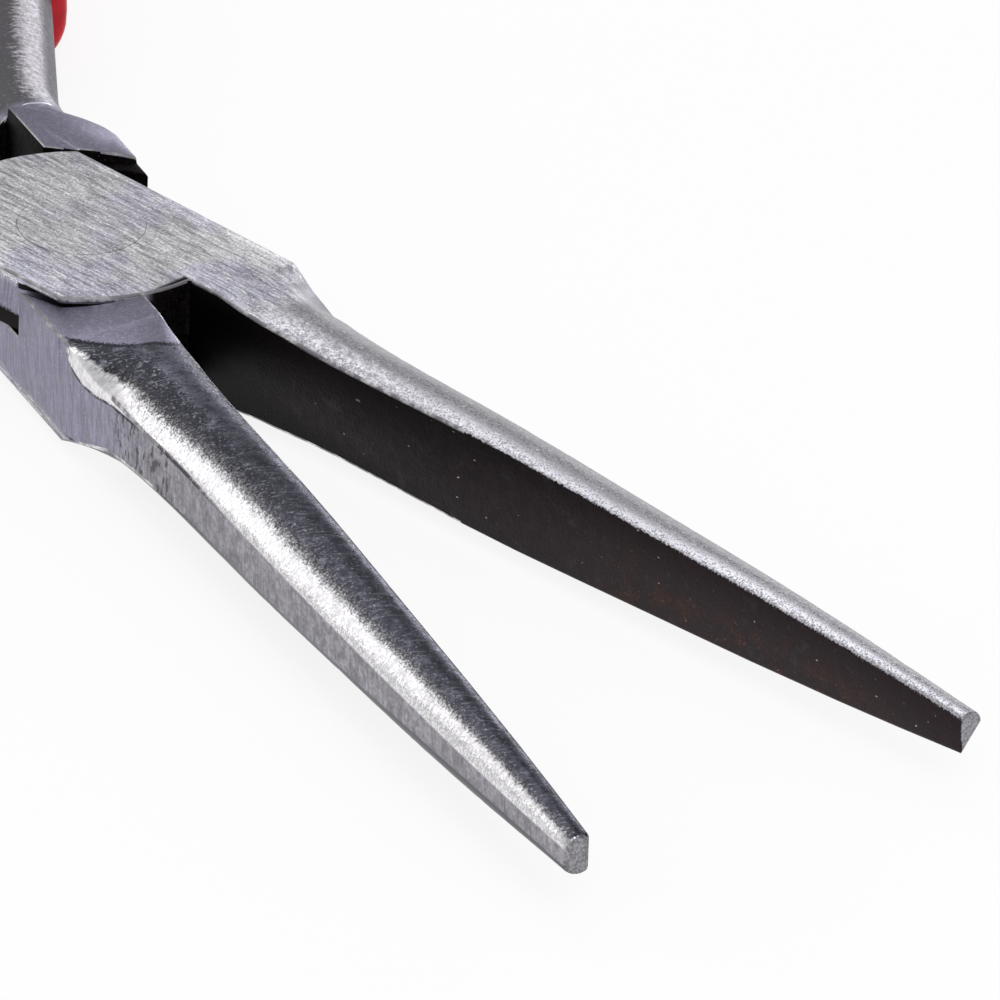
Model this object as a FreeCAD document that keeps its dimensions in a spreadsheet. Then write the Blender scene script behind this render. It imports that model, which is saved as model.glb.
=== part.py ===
import FreeCAD, Part
import math
import os
import re

import Sketcher

# Needle nose pliers with a lap joint. Millimetres, +Z up.
#
# Origin: on the pivot axis, at the joint's flat underside. +X runs from the pivot towards the tips, along
# the line that halves the opening between the jaws.
#
# The two halves are one forging, used twice: the lower half is the upper half turned over about +X. Each
# piece is drawn in its half's own frame, where x runs from the pivot along the gripping face, y points out of
# that face through the jaw, and z = 0 is the middle of the joint. A half's lap is on its +z side.

SIZES = [
    # joint
    ("joint_thickness", 6.6, "both laps together"),
    ("lap_radius", 8.2, "round ends of a lap, about the pivot"),
    ("jaw_side", 5.5, "pivot to the outer side of the jaw's shoulder"),
    ("handle_side", 6.45, "pivot to the outer side of the handle's root"),
    ("lap_gap", 0.04, "running clearance between the two laps"),
    ("shoulder_gap", 0.12, "jaw shoulder to the other half's lap"),
    ("root_gap", 0.55, "handle shoulder to the other half's lap"),
    ("relief_reach", 6.8, "pivot to the flat cut under the lap's lip"),
    ("relief_turn", 63.9, "turn of that flat from the jaw, degrees"),
    ("lip_thickness", 0.42, "lip left above that flat"),
    ("relief_gap", 0.12, "that flat to the other half's shoulder"),
    # shoulder facets
    ("jaw_facet_fall", 0.62, "drop of the jaw's facet across the jaw"),
    ("jaw_facet_end", 13.0, "pivot to the far end of the jaw's facet"),
    ("root_facet_fall", 1.0, "drop of the handle's facet across the root"),
    ("root_facet_end", 13.9, "pivot to the far end of the handle's facet"),
    # set-back at the front of the handle's shoulder
    ("nose_inner_reach", 8.35, "pivot to its inner end, along x"),
    ("nose_inner_side", 3.4, "and across"),
    ("nose_outer_reach", 7.3, "pivot to its outer end, along x"),
    ("nose_outer_side", 6.7, "and across"),
    ("nose_round", 8.0, "radius of its curved front"),
    ("nose_depth", 1.3, "its depth below the joint's face"),
    # jaw
    ("shoulder_reach", 10.4, "pivot to the jaw's shoulder corner"),
    ("shoulder_crown", 2000.0, "crown of the jaw at its shoulder, nearly flat"),
    ("jaw_length", 65.0, "pivot to the tip"),
    ("grip_stock", 0.5, "stock ground off the gripping face"),
    # handle
    ("root_inner", 1.5, "pivot line to the inner side of the handle's root"),
    ("block_length", 10.3, "pivot to the back of the handle's square root, on its outer side"),
    ("block_inner_length", 13.5, "pivot to its back, on its inner side"),
    ("block_round", 4.6, "radius of its curved back"),
    ("root_length", 13.2, "pivot to where the handle is round"),
    ("root_corner", 0.5, "corners of the square root"),
    ("shank_width", 5.2, "handle across, in the plane of the pliers"),
    ("shank_height", 6.0, "handle, top to bottom"),
    ("shank_corner", 2.55, "rounding of the handle's corners"),
    ("handle_middle", 2.95, "pivot line to the middle of the handle, before it bends out"),
    ("flare_start", 13.9, "pivot to where the handle bends out"),
    ("flare_angle", 21.4, "how far it bends out, degrees"),
    ("flare_length", 20.0, "straight run between the two bends"),
    ("first_bend", 12.0, "radius of the outward bend"),
    ("second_bend", 60.0, "radius of the bend back"),
    ("toe_angle", 7.0, "lean of the handle's end towards the other, degrees"),
    ("tail_length", 22.0, "straight run at the handle's end"),
    # rest pose
    ("half_opening", 10.15, "each gripping face to the middle line, degrees"),
    # pivot rivet
    ("rivet_radius", 2.4, "shank of the pivot rivet"),
    ("rivet_head_radius", 3.4, "its flush heads"),
    ("rivet_head_depth", 1.0, "depth of their countersink"),
    ("rivet_clearance", 0.04, "running clearance in the half that turns"),
    # grip
    ("grip_start", 11.6, "end of the outward bend to the grip's mouth"),
    ("grip_wall", 0.9, "wall of the grip"),
    ("grip_rim_round", 0.5, "rounding of the mouth's outer rim"),
    ("grip_fit", 0.02, "grip to the handle inside it"),
    ("grip_end_wall", 2.8, "closed end of the grip"),
    ("grip_end_round", 2.6, "rounding of the closed end"),
    # leaf spring
    ("leaf_thickness", 0.6, "spring strip"),
    ("leaf_width", 4.0, "spring strip"),
    ("leaf_seat_length", 7.0, "stretch of the spring on its seat"),
    ("leaf_seat_start", 0.2, "start of the seat past the outward bend"),
    ("leaf_seat_depth", 0.7, "how deep the seat is cut into the shank"),
    ("leaf_bend", 5.0, "radius of the spring's bend"),
    ("leaf_angle", 68.0, "turn of that bend, degrees"),
    ("leaf_curl", 5.0, "radius of the curl at the free end"),
    ("leaf_curl_angle", 75.0, "turn of the curl, degrees"),
    ("leaf_tip_gap", 0.15, "curl to the middle line"),
    ("leaf_seat_gap", 0.2, "front of the seat to the spring"),
    ("leaf_rivet_radius", 0.8, "shank of the spring's rivet"),
    ("leaf_rivet_head", 1.5, "its head"),
    ("leaf_rivet_head_height", 0.7, "its head"),
    ("leaf_rivet_depth", 3.0, "its hole in the handle"),
]

# Jaw sections: distance from the pivot, half height of the gripping face, width, half height of the flat
# outer band, and radius of the crown between them.
JAW_SECTIONS = [
    ("neck", 12.5, 2.99, 5.42, 2.42, 7.5),
    ("throat", 15.2, 2.84, 4.82, 1.62, 3.8),
    ("waist", 19.5, 2.65, 4.50, 1.32, 3.4),
    ("belly", 28.0, 2.74, 4.10, 1.14, 3.1),
    ("middle", 38.0, 2.50, 3.64, 0.95, 2.9),
    ("fore", 48.0, 2.10, 2.95, 0.68, 2.1),
    ("nose", 57.5, 1.58, 2.16, 0.46, 1.45),
    ("tip", 65.0, 0.97, 1.48, 0.42, 0.92),
]

doc = FreeCAD.newDocument("NeedleNosePliers")
sheet = doc.addObject("Spreadsheet::Sheet", "Sizes")


def fill_sheet():
    """Puts every driving size in the sheet, with its meaning beside it."""
    rows = list(SIZES)
    for name, reach, face, width, band, crown in JAW_SECTIONS:
        place = f"jaw section at the {name}"
        if name != "tip":
            rows.append((f"{name}_reach", reach, f"{place}: distance from the pivot"))
        rows.append((f"{name}_face", face, f"{place}: half height of the gripping face"))
        rows.append((f"{name}_width", width, f"{place}: width"))
        rows.append((f"{name}_band", band, f"{place}: half height of the outer band"))
        rows.append((f"{name}_crown", crown, f"{place}: radius of the crown"))
    for row, (name, value, meaning) in enumerate(rows, start=1):
        sheet.set(f"A{row}", meaning)
        sheet.set(f"B{row}", str(value))
        sheet.setAlias(f"B{row}", name)
    doc.recompute()
    return {name for name, value, meaning in rows}


NAMES = fill_sheet()


def formula(text):
    """A formula in the sheet's names, as an expression of the document."""
    return re.sub(r"[a-z]\w*", lambda word: f"Sizes.{word[0]}" if word[0] in NAMES else word[0], text)


def number(text):
    """What a formula comes to."""
    result = sheet.evalExpression(text)
    return getattr(result, "Value", result)


# ---- formulas that several pieces share, in a half's frame ----

HALF_JOINT = "(joint_thickness/2)"
LAP_FLOOR = "(lap_gap/2)"
ROOT_MIDDLE = "(-(handle_side+root_inner)/2)"
FLARE = "(flare_angle*1deg)"
TOE = "(toe_angle*1deg)"


def along_flare(distance, inward="0"):
    """A point past the outward bend, moved inward from the handle's middle line."""
    x = f"(-flare_start-first_bend*sin{FLARE}-({distance})*cos{FLARE}-({inward})*sin{FLARE})"
    y = f"(-handle_middle-first_bend*(1-cos{FLARE})-({distance})*sin{FLARE}+({inward})*cos{FLARE})"
    return x, y


FLARE_END = along_flare("flare_length")
TAIL_START = (
    f"({FLARE_END[0]}-second_bend*(sin{FLARE}+sin{TOE}))",
    f"({FLARE_END[1]}+second_bend*(cos{FLARE}-cos{TOE}))",
)


def handle_end(extra="0"):
    """The end of the handle's middle line, moved on by extra."""
    x = f"({TAIL_START[0]}-(tail_length+{extra})*cos{TOE})"
    y = f"({TAIL_START[1]}+(tail_length+{extra})*sin{TOE})"
    return x, y


# ---- drawing ----


def plane_of(body, role):
    return next(feature for feature in body.Origin.OriginFeatures if feature.Role == role)


def add_sketch(body, name, plane, offset=None):
    """An empty sketch on one of the body's own planes, moved along its normal by offset."""
    sketch = body.newObject("Sketcher::SketchObject", name)
    sketch.AttachmentSupport = [(plane_of(body, plane), "")]
    sketch.MapMode = "FlatFace"
    if offset:
        sketch.setExpression("AttachmentOffset.Base.z", formula(offset))
    return sketch


def add_flare_sketch(body, name, point):
    """An empty sketch square to the flared run of the handle, with its centre at point."""
    sketch = add_sketch(body, name, "YZ_Plane", point[0])
    sketch.AttachmentOffset = FreeCAD.Placement(
        FreeCAD.Vector(), FreeCAD.Rotation(FreeCAD.Vector(0, 1, 0), 1)
    )
    sketch.setExpression("AttachmentOffset.Base.x", formula(point[1]))
    sketch.setExpression("AttachmentOffset.Rotation.Angle", formula("flare_angle"))
    return sketch


def arc_between(start, end, radius):
    """The short arc from start to end: it turns left if radius is positive, and right if not."""
    chord = end - start
    rise = math.sqrt(radius**2 - (chord.Length / 2) ** 2)
    side = FreeCAD.Vector(-chord.y, chord.x, 0).normalize()
    centre = (start + end) / 2 + side * math.copysign(rise, radius)
    first, last = (start, end) if radius > 0 else (end, start)
    angles = [math.atan2(point.y - centre.y, point.x - centre.x) for point in (first, last)]
    if angles[1] < angles[0]:
        angles[1] += 2 * math.pi
    circle = Part.Circle(centre, FreeCAD.Vector(0, 0, 1), abs(radius))
    return Part.ArcOfCircle(circle, *angles)


def draw(sketch, corners, arcs=None, closed=True):
    """Draws sides through corners, each corner held by its two formulas.

    arcs gives the sides that are arcs, by number, with the formula of their radius: a side that turns right
    has a minus sign before it.
    """
    arcs = arcs or {}
    points = [FreeCAD.Vector(number(x), number(y), 0) for x, y in corners]
    count = len(points) if closed else len(points) - 1
    ends = []
    for side in range(count):
        start, end = points[side], points[(side + 1) % len(points)]
        if side in arcs:
            radius = number(arcs[side])
            index = sketch.addGeometry(arc_between(start, end, radius), False)
            ends.append((index, 1, 2) if radius > 0 else (index, 2, 1))
            hold(sketch, Sketcher.Constraint("Radius", index, abs(radius)), arcs[side].lstrip("-"))
        else:
            index = sketch.addGeometry(Part.LineSegment(start, end), False)
            ends.append((index, 1, 2))
    for side, (index, first, last) in enumerate(ends):
        hold_point(sketch, index, first, *corners[side])
        if closed or side + 1 < count:
            after, after_first, _ = ends[(side + 1) % count]
            sketch.addConstraint(Sketcher.Constraint("Coincident", index, last, after, after_first))
    if not closed:
        index, _, last = ends[-1]
        hold_point(sketch, index, last, *corners[-1])
    return sketch


def hold(sketch, constraint, text):
    """Adds a constraint and binds it to its formula."""
    index = sketch.addConstraint(constraint)
    sketch.setExpression(f"Constraints[{index}]", formula(text))


def hold_point(sketch, index, end, x, y):
    """Holds one end of a side at the place that two formulas give."""
    for kind, axis, text in (("DistanceX", -2, x), ("DistanceY", -1, y)):
        if text == "0":
            sketch.addConstraint(Sketcher.Constraint("PointOnObject", index, end, axis))
        else:
            hold(sketch, Sketcher.Constraint(kind, index, end, number(text)), text)


def rounded_box(sketch, middle, width, height, corner):
    """A rectangle with rounded corners, centred on (middle, 0)."""
    left = f"({middle}-{width}/2)"
    right = f"({middle}+{width}/2)"
    top = f"({height}/2)"
    corners = [
        (f"{left}+{corner}", f"-{top}"),
        (f"{right}-{corner}", f"-{top}"),
        (right, f"-{top}+{corner}"),
        (right, f"{top}-{corner}"),
        (f"{right}-{corner}", top),
        (f"{left}+{corner}", top),
        (left, f"{top}-{corner}"),
        (left, f"-{top}+{corner}"),
    ]
    return draw(sketch, corners, {1: corner, 3: corner, 5: corner, 7: corner})


# ---- features ----


def add_feature(body, kind, name, **settings):
    """Adds a feature, sets its properties or binds them to formulas, and checks that it changed the solid."""
    before = body.Shape.Volume if body.Tip else 0
    feature = body.newObject(kind, name)
    for key, value in settings.items():
        if isinstance(value, str) and key in ("Length", "Radius", "Height", "AttachmentOffset"):
            feature.setExpression(key, formula(value))
        else:
            setattr(feature, key, value)
    body.Tip = feature
    doc.recompute()
    adds = not any(word in kind for word in ("Pocket", "Groove", "Subtractive", "Fillet"))
    change = body.Shape.Volume - before
    if feature.State and "Invalid" in feature.State or (change <= 0) == adds:
        raise RuntimeError(f"{body.Label}.{name} failed: {feature.State}, volume change {change:.3f}")
    return feature


def add_body(name, placement=None):
    body = doc.addObject("PartDesign::Body", name)
    body.Label = name
    if placement:
        body.setExpression("Placement", formula(placement))
    return body


UPPER_PLACE = f"placement(vector(0;0;{HALF_JOINT});rotation(half_opening;0;0))"
LOWER_PLACE = f"placement(vector(0;0;{HALF_JOINT});rotation(-half_opening;0;180))"


# ---- one half ----


def add_joint_block(body):
    """The block that the joint is cut from: both laps thick, from the handle's root to the jaw's shoulder."""
    sketch = add_sketch(body, "JointOutline", "XY_Plane")
    corners = [
        ("lap_radius", "0"),
        ("shoulder_reach", "0"),
        ("shoulder_reach", "jaw_side"),
        ("-sqrt(lap_radius^2-jaw_side^2)", "jaw_side"),
        ("-sqrt(lap_radius^2-root_inner^2)", "-root_inner"),
        ("-block_inner_length", "-root_inner"),
        ("-block_length", "-handle_side"),
        ("sqrt(lap_radius^2-handle_side^2)", "-handle_side"),
    ]
    draw(sketch, corners, {3: "lap_radius", 5: "block_round", 7: "lap_radius"})
    add_feature(body, "PartDesign::Pad", "JointBlock", Profile=sketch, Length="joint_thickness", Midplane=True)


def add_jaw_section(body, name, reach, face, width, band, crown):
    """The jaw's outline square to it: two crowns, a flat outer band and stock on the gripping side."""
    sketch = add_sketch(body, f"Jaw{name.capitalize()}", "YZ_Plane", reach)
    corners = [
        ("-grip_stock", face),
        ("-grip_stock", f"-{face}"),
        ("0", f"-{face}"),
        (width, f"-{band}"),
        (width, band),
        ("0", face),
    ]
    return draw(sketch, corners, {2: crown, 4: crown})


def add_jaw(body):
    """The jaw: a short neck that turns from square to domed, and the long taper from there to the tip."""
    shoulder = add_jaw_section(
        body, "shoulder", "shoulder_reach", HALF_JOINT, "jaw_side", HALF_JOINT, "shoulder_crown"
    )
    sections = []
    for name, *_ in JAW_SECTIONS:
        reach = "jaw_length" if name == "tip" else f"{name}_reach"
        sections.append(
            add_jaw_section(
                body, name, reach, f"{name}_face", f"{name}_width", f"{name}_band", f"{name}_crown"
            )
        )
    neck, throat, *taper = sections
    add_feature(body, "PartDesign::AdditiveLoft", "Neck", Profile=shoulder, Sections=[neck, throat])
    add_feature(body, "PartDesign::AdditiveLoft", "Taper", Profile=throat, Sections=taper)
    sketch = add_sketch(body, "GrippingFaceOutline", "XY_Plane")
    corners = [
        ("shoulder_reach", "0"),
        ("shoulder_reach", "-jaw_side"),
        ("jaw_length+jaw_side", "-jaw_side"),
        ("jaw_length+jaw_side", "0"),
    ]
    draw(sketch, corners)
    add_feature(
        body, "PartDesign::Pocket", "GrippingFace", Profile=sketch, Length="2*joint_thickness", Midplane=True
    )


def draw_handle_line(sketch, start, end):
    """The handle's middle line past the outward bend, from start on the flared run to end on the tail."""
    corners = [start, FLARE_END, TAIL_START, end]
    return draw(sketch, corners, {1: "-second_bend"}, closed=False)


def add_handle(body):
    """The root behind the joint, which turns from square to round, and the bent shank."""
    root = add_sketch(body, "RootSquare", "YZ_Plane", "-block_length")
    rounded_box(root, ROOT_MIDDLE, "(handle_side-root_inner)", "joint_thickness", "root_corner")
    shank = add_sketch(body, "RootRound", "YZ_Plane", "-root_length")
    rounded_box(shank, "-handle_middle", "shank_width", "shank_height", "shank_corner")
    add_feature(body, "PartDesign::AdditiveLoft", "Root", Profile=root, Sections=[shank])
    line = add_sketch(body, "HandleLine", "XY_Plane")
    corners = [
        ("-root_length", "-handle_middle"),
        ("-flare_start", "-handle_middle"),
        along_flare("0"),
        FLARE_END,
        TAIL_START,
        handle_end(),
    ]
    draw(line, corners, {1: "first_bend", 3: "-second_bend"}, closed=False)
    profile = add_sketch(body, "ShankSection", "YZ_Plane", "-root_length")
    rounded_box(profile, "-handle_middle", "shank_width", "shank_height", "shank_corner")
    add_feature(body, "PartDesign::AdditivePipe", "Shank", Profile=profile, Spine=(line, []))


def polar(radius, degrees):
    """A point at a radius from the pivot, turned by degrees from the jaw."""
    return f"({radius})*cos({degrees})", f"({radius})*sin({degrees})"


def cut_lap(body):
    """Clears the half of the joint that the other half's lap takes, and leaves the two shoulders."""
    jaw_clear = "(lap_radius+shoulder_gap)"
    root_clear = "(lap_radius+root_gap)"
    flat = "(relief_reach+relief_gap)"
    corner_turn = f"(relief_turn*1deg-acos({flat}/{jaw_clear}))"
    start = polar(jaw_clear, "-40deg")
    corner = polar(jaw_clear, corner_turn)
    beyond = (
        f"({corner[0]}-lap_radius*sin(relief_turn*1deg))",
        f"({corner[1]}+lap_radius*cos(relief_turn*1deg))",
    )
    root_first = polar(root_clear, "135deg")
    root_last = polar(root_clear, "235deg")
    below = "-(handle_side+lap_radius)"
    corners = [
        start,
        corner,
        beyond,
        (root_first[0], beyond[1]),
        root_first,
        root_last,
        (root_last[0], below),
        (start[0], below),
    ]
    sketch = add_sketch(body, "LapClearance", "XY_Plane", LAP_FLOOR)
    draw(sketch, corners, {0: jaw_clear, 4: root_clear})
    add_feature(body, "PartDesign::Pocket", "LapCut", Profile=sketch, Length="joint_thickness")


def cut_relief(body):
    """Flattens the lap's corner under a thin lip, so that the other half's shoulder passes as the jaws close."""
    turn = "(relief_turn*1deg)"
    corners = []
    for out, along in (("0", "-0.6"), ("1", "-0.6"), ("1", "0.9"), ("0", "0.9")):
        reach = f"(relief_reach+{out}*lap_radius)"
        step = f"({along}*lap_radius)"
        x = f"({reach}*cos{turn}+{step}*sin{turn})"
        y = f"(-{reach}*sin{turn}+{step}*cos{turn})"
        corners.append((x, y))
    sketch = add_sketch(body, "ReliefOutline", "XY_Plane")
    draw(sketch, corners)
    add_feature(
        body,
        "PartDesign::Pocket",
        "Relief",
        Profile=sketch,
        Length=f"{HALF_JOINT}-lip_thickness",
        Reversed=True,
    )


def cut_facet(body, name, start, width, fall, end, toward_tip):
    """Grinds a sloping facet on the side away from the half's own lap: it falls across width from start."""
    far = f"({start}+1.5*{width})"
    corners = [
        (start, "-joint_thickness"),
        (far, "-joint_thickness"),
        (far, f"-{HALF_JOINT}+1.5*{fall}"),
        (start, f"-{HALF_JOINT}"),
    ]
    sketch = add_sketch(body, f"{name}Outline", "YZ_Plane")
    draw(sketch, corners)
    add_feature(body, "PartDesign::Pocket", name, Profile=sketch, Length=end, Reversed=toward_tip)


def cut_inner_wall(body):
    """Mills the inner side of the handle's root flat, from the lap back to where the shank starts."""
    corners = [
        ("-lap_radius", "-root_inner"),
        ("-lap_radius", "root_inner"),
        ("-block_inner_length", "root_inner"),
        ("-block_inner_length", "-root_inner"),
    ]
    sketch = add_sketch(body, "InnerWallOutline", "XY_Plane")
    draw(sketch, corners)
    add_feature(
        body, "PartDesign::Pocket", "InnerWall", Profile=sketch, Length="2*joint_thickness", Midplane=True
    )


def cut_nose(body):
    """Sets back the upper front of the handle's shoulder, beside the other half's lap."""
    corners = [
        ("-nose_inner_reach", "-nose_inner_side"),
        ("-nose_outer_reach", "-nose_outer_side"),
        ("0", "-nose_outer_side"),
        ("0", "-nose_inner_side"),
    ]
    sketch = add_sketch(body, "NoseOutline", "XY_Plane", f"-{HALF_JOINT}")
    draw(sketch, corners, {0: "nose_round"})
    add_feature(body, "PartDesign::Pocket", "Nose", Profile=sketch, Length="nose_depth", Reversed=True)


def cut_bore(body, clearance):
    """The pivot's bore and the countersink for the rivet's flush head."""
    sketch = add_sketch(body, "BoreSection", "XZ_Plane")
    corners = [
        ("0", "0"),
        (f"rivet_radius+{clearance}", "0"),
        (f"rivet_radius+{clearance}", f"{HALF_JOINT}-rivet_head_depth"),
        (f"rivet_head_radius+{clearance}", HALF_JOINT),
        (f"rivet_head_radius+{clearance}", "joint_thickness"),
        ("0", "joint_thickness"),
    ]
    draw(sketch, corners)
    add_feature(body, "PartDesign::Groove", "Bore", Profile=sketch, ReferenceAxis=(sketch, ["V_Axis"]))


SEAT_SINK = "(shank_width/2-leaf_seat_depth)"
SEAT_MIDDLE = "(leaf_seat_start+leaf_seat_length/2)"


def cut_spring_seat(body):
    """The flat for the leaf spring on the inner side of the shank, and the hole for its rivet."""
    sketch = add_sketch(body, "SeatOutline", "XY_Plane")
    front = "leaf_seat_start-leaf_seat_gap"
    back = "leaf_seat_start+leaf_seat_length+sqrt(2*(leaf_bend+leaf_thickness)*leaf_seat_depth)"
    corners = [
        along_flare(front, SEAT_SINK),
        along_flare(back, SEAT_SINK),
        along_flare(back, "shank_width"),
        along_flare(front, "shank_width"),
    ]
    draw(sketch, corners)
    add_feature(body, "PartDesign::Pocket", "SpringSeat", Profile=sketch, Length="shank_height", Midplane=True)
    hole = rivet_place("-leaf_rivet_depth")
    add_hole(body, "SpringRivetHole", hole, "leaf_rivet_radius", "leaf_rivet_depth+shank_width")


def rivet_place(lift):
    """A placement square to the spring's seat, at the rivet, lifted off the seat by lift."""
    x, y = along_flare(SEAT_MIDDLE, f"{SEAT_SINK}+({lift})")
    return f"placement(vector({x};{y};0);rotation(flare_angle;0;-90))"


def add_hole(body, name, place, radius, depth):
    """A round hole that starts at a place and runs along that place's own z."""
    add_feature(
        body,
        "PartDesign::SubtractiveCylinder",
        name,
        AttachmentSupport=[(plane_of(body, "XY_Plane"), "")],
        MapMode="FlatFace",
        AttachmentOffset=place,
        Radius=radius,
        Height=depth,
    )


def make_half(name, place, clearance):
    body = add_body(name, place)
    add_joint_block(body)
    add_jaw(body)
    add_handle(body)
    cut_lap(body)
    cut_relief(body)
    cut_facet(body, "JawFacet", "0", "jaw_side", "jaw_facet_fall", "jaw_facet_end", True)
    root_width = "(root_inner-handle_side)"
    cut_facet(body, "RootFacet", "-root_inner", root_width, "root_facet_fall", "root_facet_end", False)
    cut_inner_wall(body)
    cut_nose(body)
    cut_bore(body, clearance)
    cut_spring_seat(body)
    return body


# ---- the other pieces ----


def make_pivot_rivet():
    """The rivet through both laps, with a flush head at each end."""
    body = add_body("pivot_rivet")
    sketch = add_sketch(body, "RivetSection", "XZ_Plane")
    corners = [
        ("0", "0"),
        ("rivet_head_radius", "0"),
        ("rivet_radius", "rivet_head_depth"),
        ("rivet_radius", "joint_thickness-rivet_head_depth"),
        ("rivet_head_radius", "joint_thickness"),
        ("0", "joint_thickness"),
    ]
    draw(sketch, corners)
    add_feature(body, "PartDesign::Revolution", "Rivet", Profile=sketch, ReferenceAxis=(sketch, ["V_Axis"]))
    return body


def make_grip(name, place):
    """The sleeve on one handle, closed at its end."""
    body = add_body(name, place)
    start = along_flare("grip_start")
    outer = add_flare_sketch(body, "GripSection", start)
    rounded_box(
        outer, "0", "(shank_width+2*grip_wall)", "(shank_height+2*grip_wall)", "(shank_corner+grip_wall)"
    )
    line = add_sketch(body, "GripLine", "XY_Plane")
    draw_handle_line(line, start, handle_end("grip_end_wall"))
    add_feature(body, "PartDesign::AdditivePipe", "Sleeve", Profile=outer, Spine=(line, []))
    inner = add_flare_sketch(body, "CavitySection", start)
    rounded_box(inner, "0", "(shank_width+2*grip_fit)", "(shank_height+2*grip_fit)", "(shank_corner+grip_fit)")
    cavity = add_sketch(body, "CavityLine", "XY_Plane")
    draw_handle_line(cavity, start, handle_end("grip_fit"))
    add_feature(body, "PartDesign::SubtractivePipe", "Cavity", Profile=inner, Spine=(cavity, []))
    round_grip_rim(body, "EndRound", "grip_end_round", min)
    round_grip_rim(body, "MouthRound", "grip_rim_round", max)
    return body


def round_grip_rim(body, name, radius, farthest):
    """Rounds the outer edges of the grip's end face: farthest is min for the closed end and max for the mouth."""
    face = farthest(body.Shape.Faces, key=lambda item: item.CenterOfMass.x)
    rim = [
        f"Edge{index}"
        for index, edge in enumerate(body.Shape.Edges, start=1)
        if any(edge.isSame(other) for other in face.OuterWire.Edges)
    ]
    add_feature(body, "PartDesign::Fillet", name, Base=(body.Tip, rim), Radius=radius)


def make_leaf_spring(name, place):
    """A strip that lies on its seat, bends inward and ends in a curl beside the middle line."""
    body = add_body(name, place)
    middle = f"({SEAT_SINK}+leaf_thickness/2)"
    start = along_flare("leaf_seat_start", middle)
    seat_end = along_flare("leaf_seat_start+leaf_seat_length", middle)
    rise = "(leaf_angle*1deg-flare_angle*1deg)"
    bend_end = (
        f"({seat_end[0]}-leaf_bend*(sin{FLARE}+sin{rise}))",
        f"({seat_end[1]}+leaf_bend*(cos{FLARE}-cos{rise}))",
    )
    lean = "(half_opening*1deg)"
    closing = f"({rise}-{lean})"
    room = f"(-({bend_end[0]})*sin{lean}-({bend_end[1]})*cos{lean})"
    reach = f"(({room}-leaf_curl*(1-cos{closing})-leaf_tip_gap-leaf_thickness/2)/sin{closing})"
    run_end = (f"({bend_end[0]}-{reach}*cos{rise})", f"({bend_end[1]}+{reach}*sin{rise})")
    curl_turn = "(leaf_curl_angle*1deg)"
    back = f"({rise}-{curl_turn})"
    tip = (
        f"({run_end[0]}-leaf_curl*(sin{rise}-sin{back}))",
        f"({run_end[1]}-leaf_curl*(cos{rise}-cos{back}))",
    )
    line = add_sketch(body, "LeafLine", "XY_Plane")
    draw(line, [start, seat_end, bend_end, run_end, tip], {1: "-leaf_bend", 3: "leaf_curl"}, closed=False)
    strip = add_flare_sketch(body, "LeafSection", start)
    corners = [
        ("leaf_thickness/2", "leaf_width/2"),
        ("-leaf_thickness/2", "leaf_width/2"),
        ("-leaf_thickness/2", "-leaf_width/2"),
        ("leaf_thickness/2", "-leaf_width/2"),
    ]
    draw(strip, corners)
    add_feature(body, "PartDesign::AdditivePipe", "Leaf", Profile=strip, Spine=(line, []))
    add_hole(body, "LeafHole", rivet_place("-leaf_thickness"), "leaf_rivet_radius", "3*leaf_thickness")
    return body


def make_spring_rivet(name, place):
    """The round-headed rivet that holds a leaf spring on its seat."""
    body = add_body(name, f"{place}*{rivet_place('0')}")
    sketch = add_sketch(body, "SpringRivetSection", "XZ_Plane")
    top = "(leaf_thickness+leaf_rivet_head_height)"
    corners = [
        ("0", "-leaf_rivet_depth"),
        ("leaf_rivet_radius", "-leaf_rivet_depth"),
        ("leaf_rivet_radius", "leaf_thickness"),
        ("leaf_rivet_head", "leaf_thickness"),
        ("0", top),
    ]
    dome = "((leaf_rivet_head^2+leaf_rivet_head_height^2)/(2*leaf_rivet_head_height))"
    draw(sketch, corners, {3: dome})
    add_feature(body, "PartDesign::Revolution", "Rivet", Profile=sketch, ReferenceAxis=(sketch, ["V_Axis"]))
    return body


def check(body):
    """Stops if a piece or any of its features failed."""
    for item in [body] + list(body.Group):
        if "Invalid" in item.State or "Error" in item.State:
            raise RuntimeError(f"{item.Label} is {item.State}")
    shape = body.Shape
    if shape.isNull() or not shape.isValid() or len(shape.Solids) != 1:
        raise RuntimeError(f"{body.Label} has no valid single solid")


bodies = [
    make_half("lower_half", LOWER_PLACE, "0"),
    make_half("upper_half", UPPER_PLACE, "rivet_clearance"),
    make_pivot_rivet(),
]
for side, side_place in (("lower", LOWER_PLACE), ("upper", UPPER_PLACE)):
    bodies.append(make_grip(f"{side}_grip", side_place))
    bodies.append(make_leaf_spring(f"{side}_leaf_spring", side_place))
    bodies.append(make_spring_rivet(f"{side}_spring_rivet", side_place))

doc.recompute()
os.makedirs("parts", exist_ok=True)
for body in bodies:
    check(body)
for body in bodies:
    body.Shape.exportStep(f"parts/{body.Label}.step")
    box = body.Shape.BoundBox
    print(f"{body.Label}: {body.Shape.Volume:.1f} mm3, x {box.XMin:.2f}..{box.XMax:.2f},",
          f"y {box.YMin:.2f}..{box.YMax:.2f}, z {box.ZMin:.2f}..{box.ZMax:.2f}")
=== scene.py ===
"""Visual model of needle nose pliers: forged halves, rivets, leaf springs and dipped vinyl grips."""

import math

import bmesh
import bpy
from mathutils import Matrix, Vector


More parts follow.
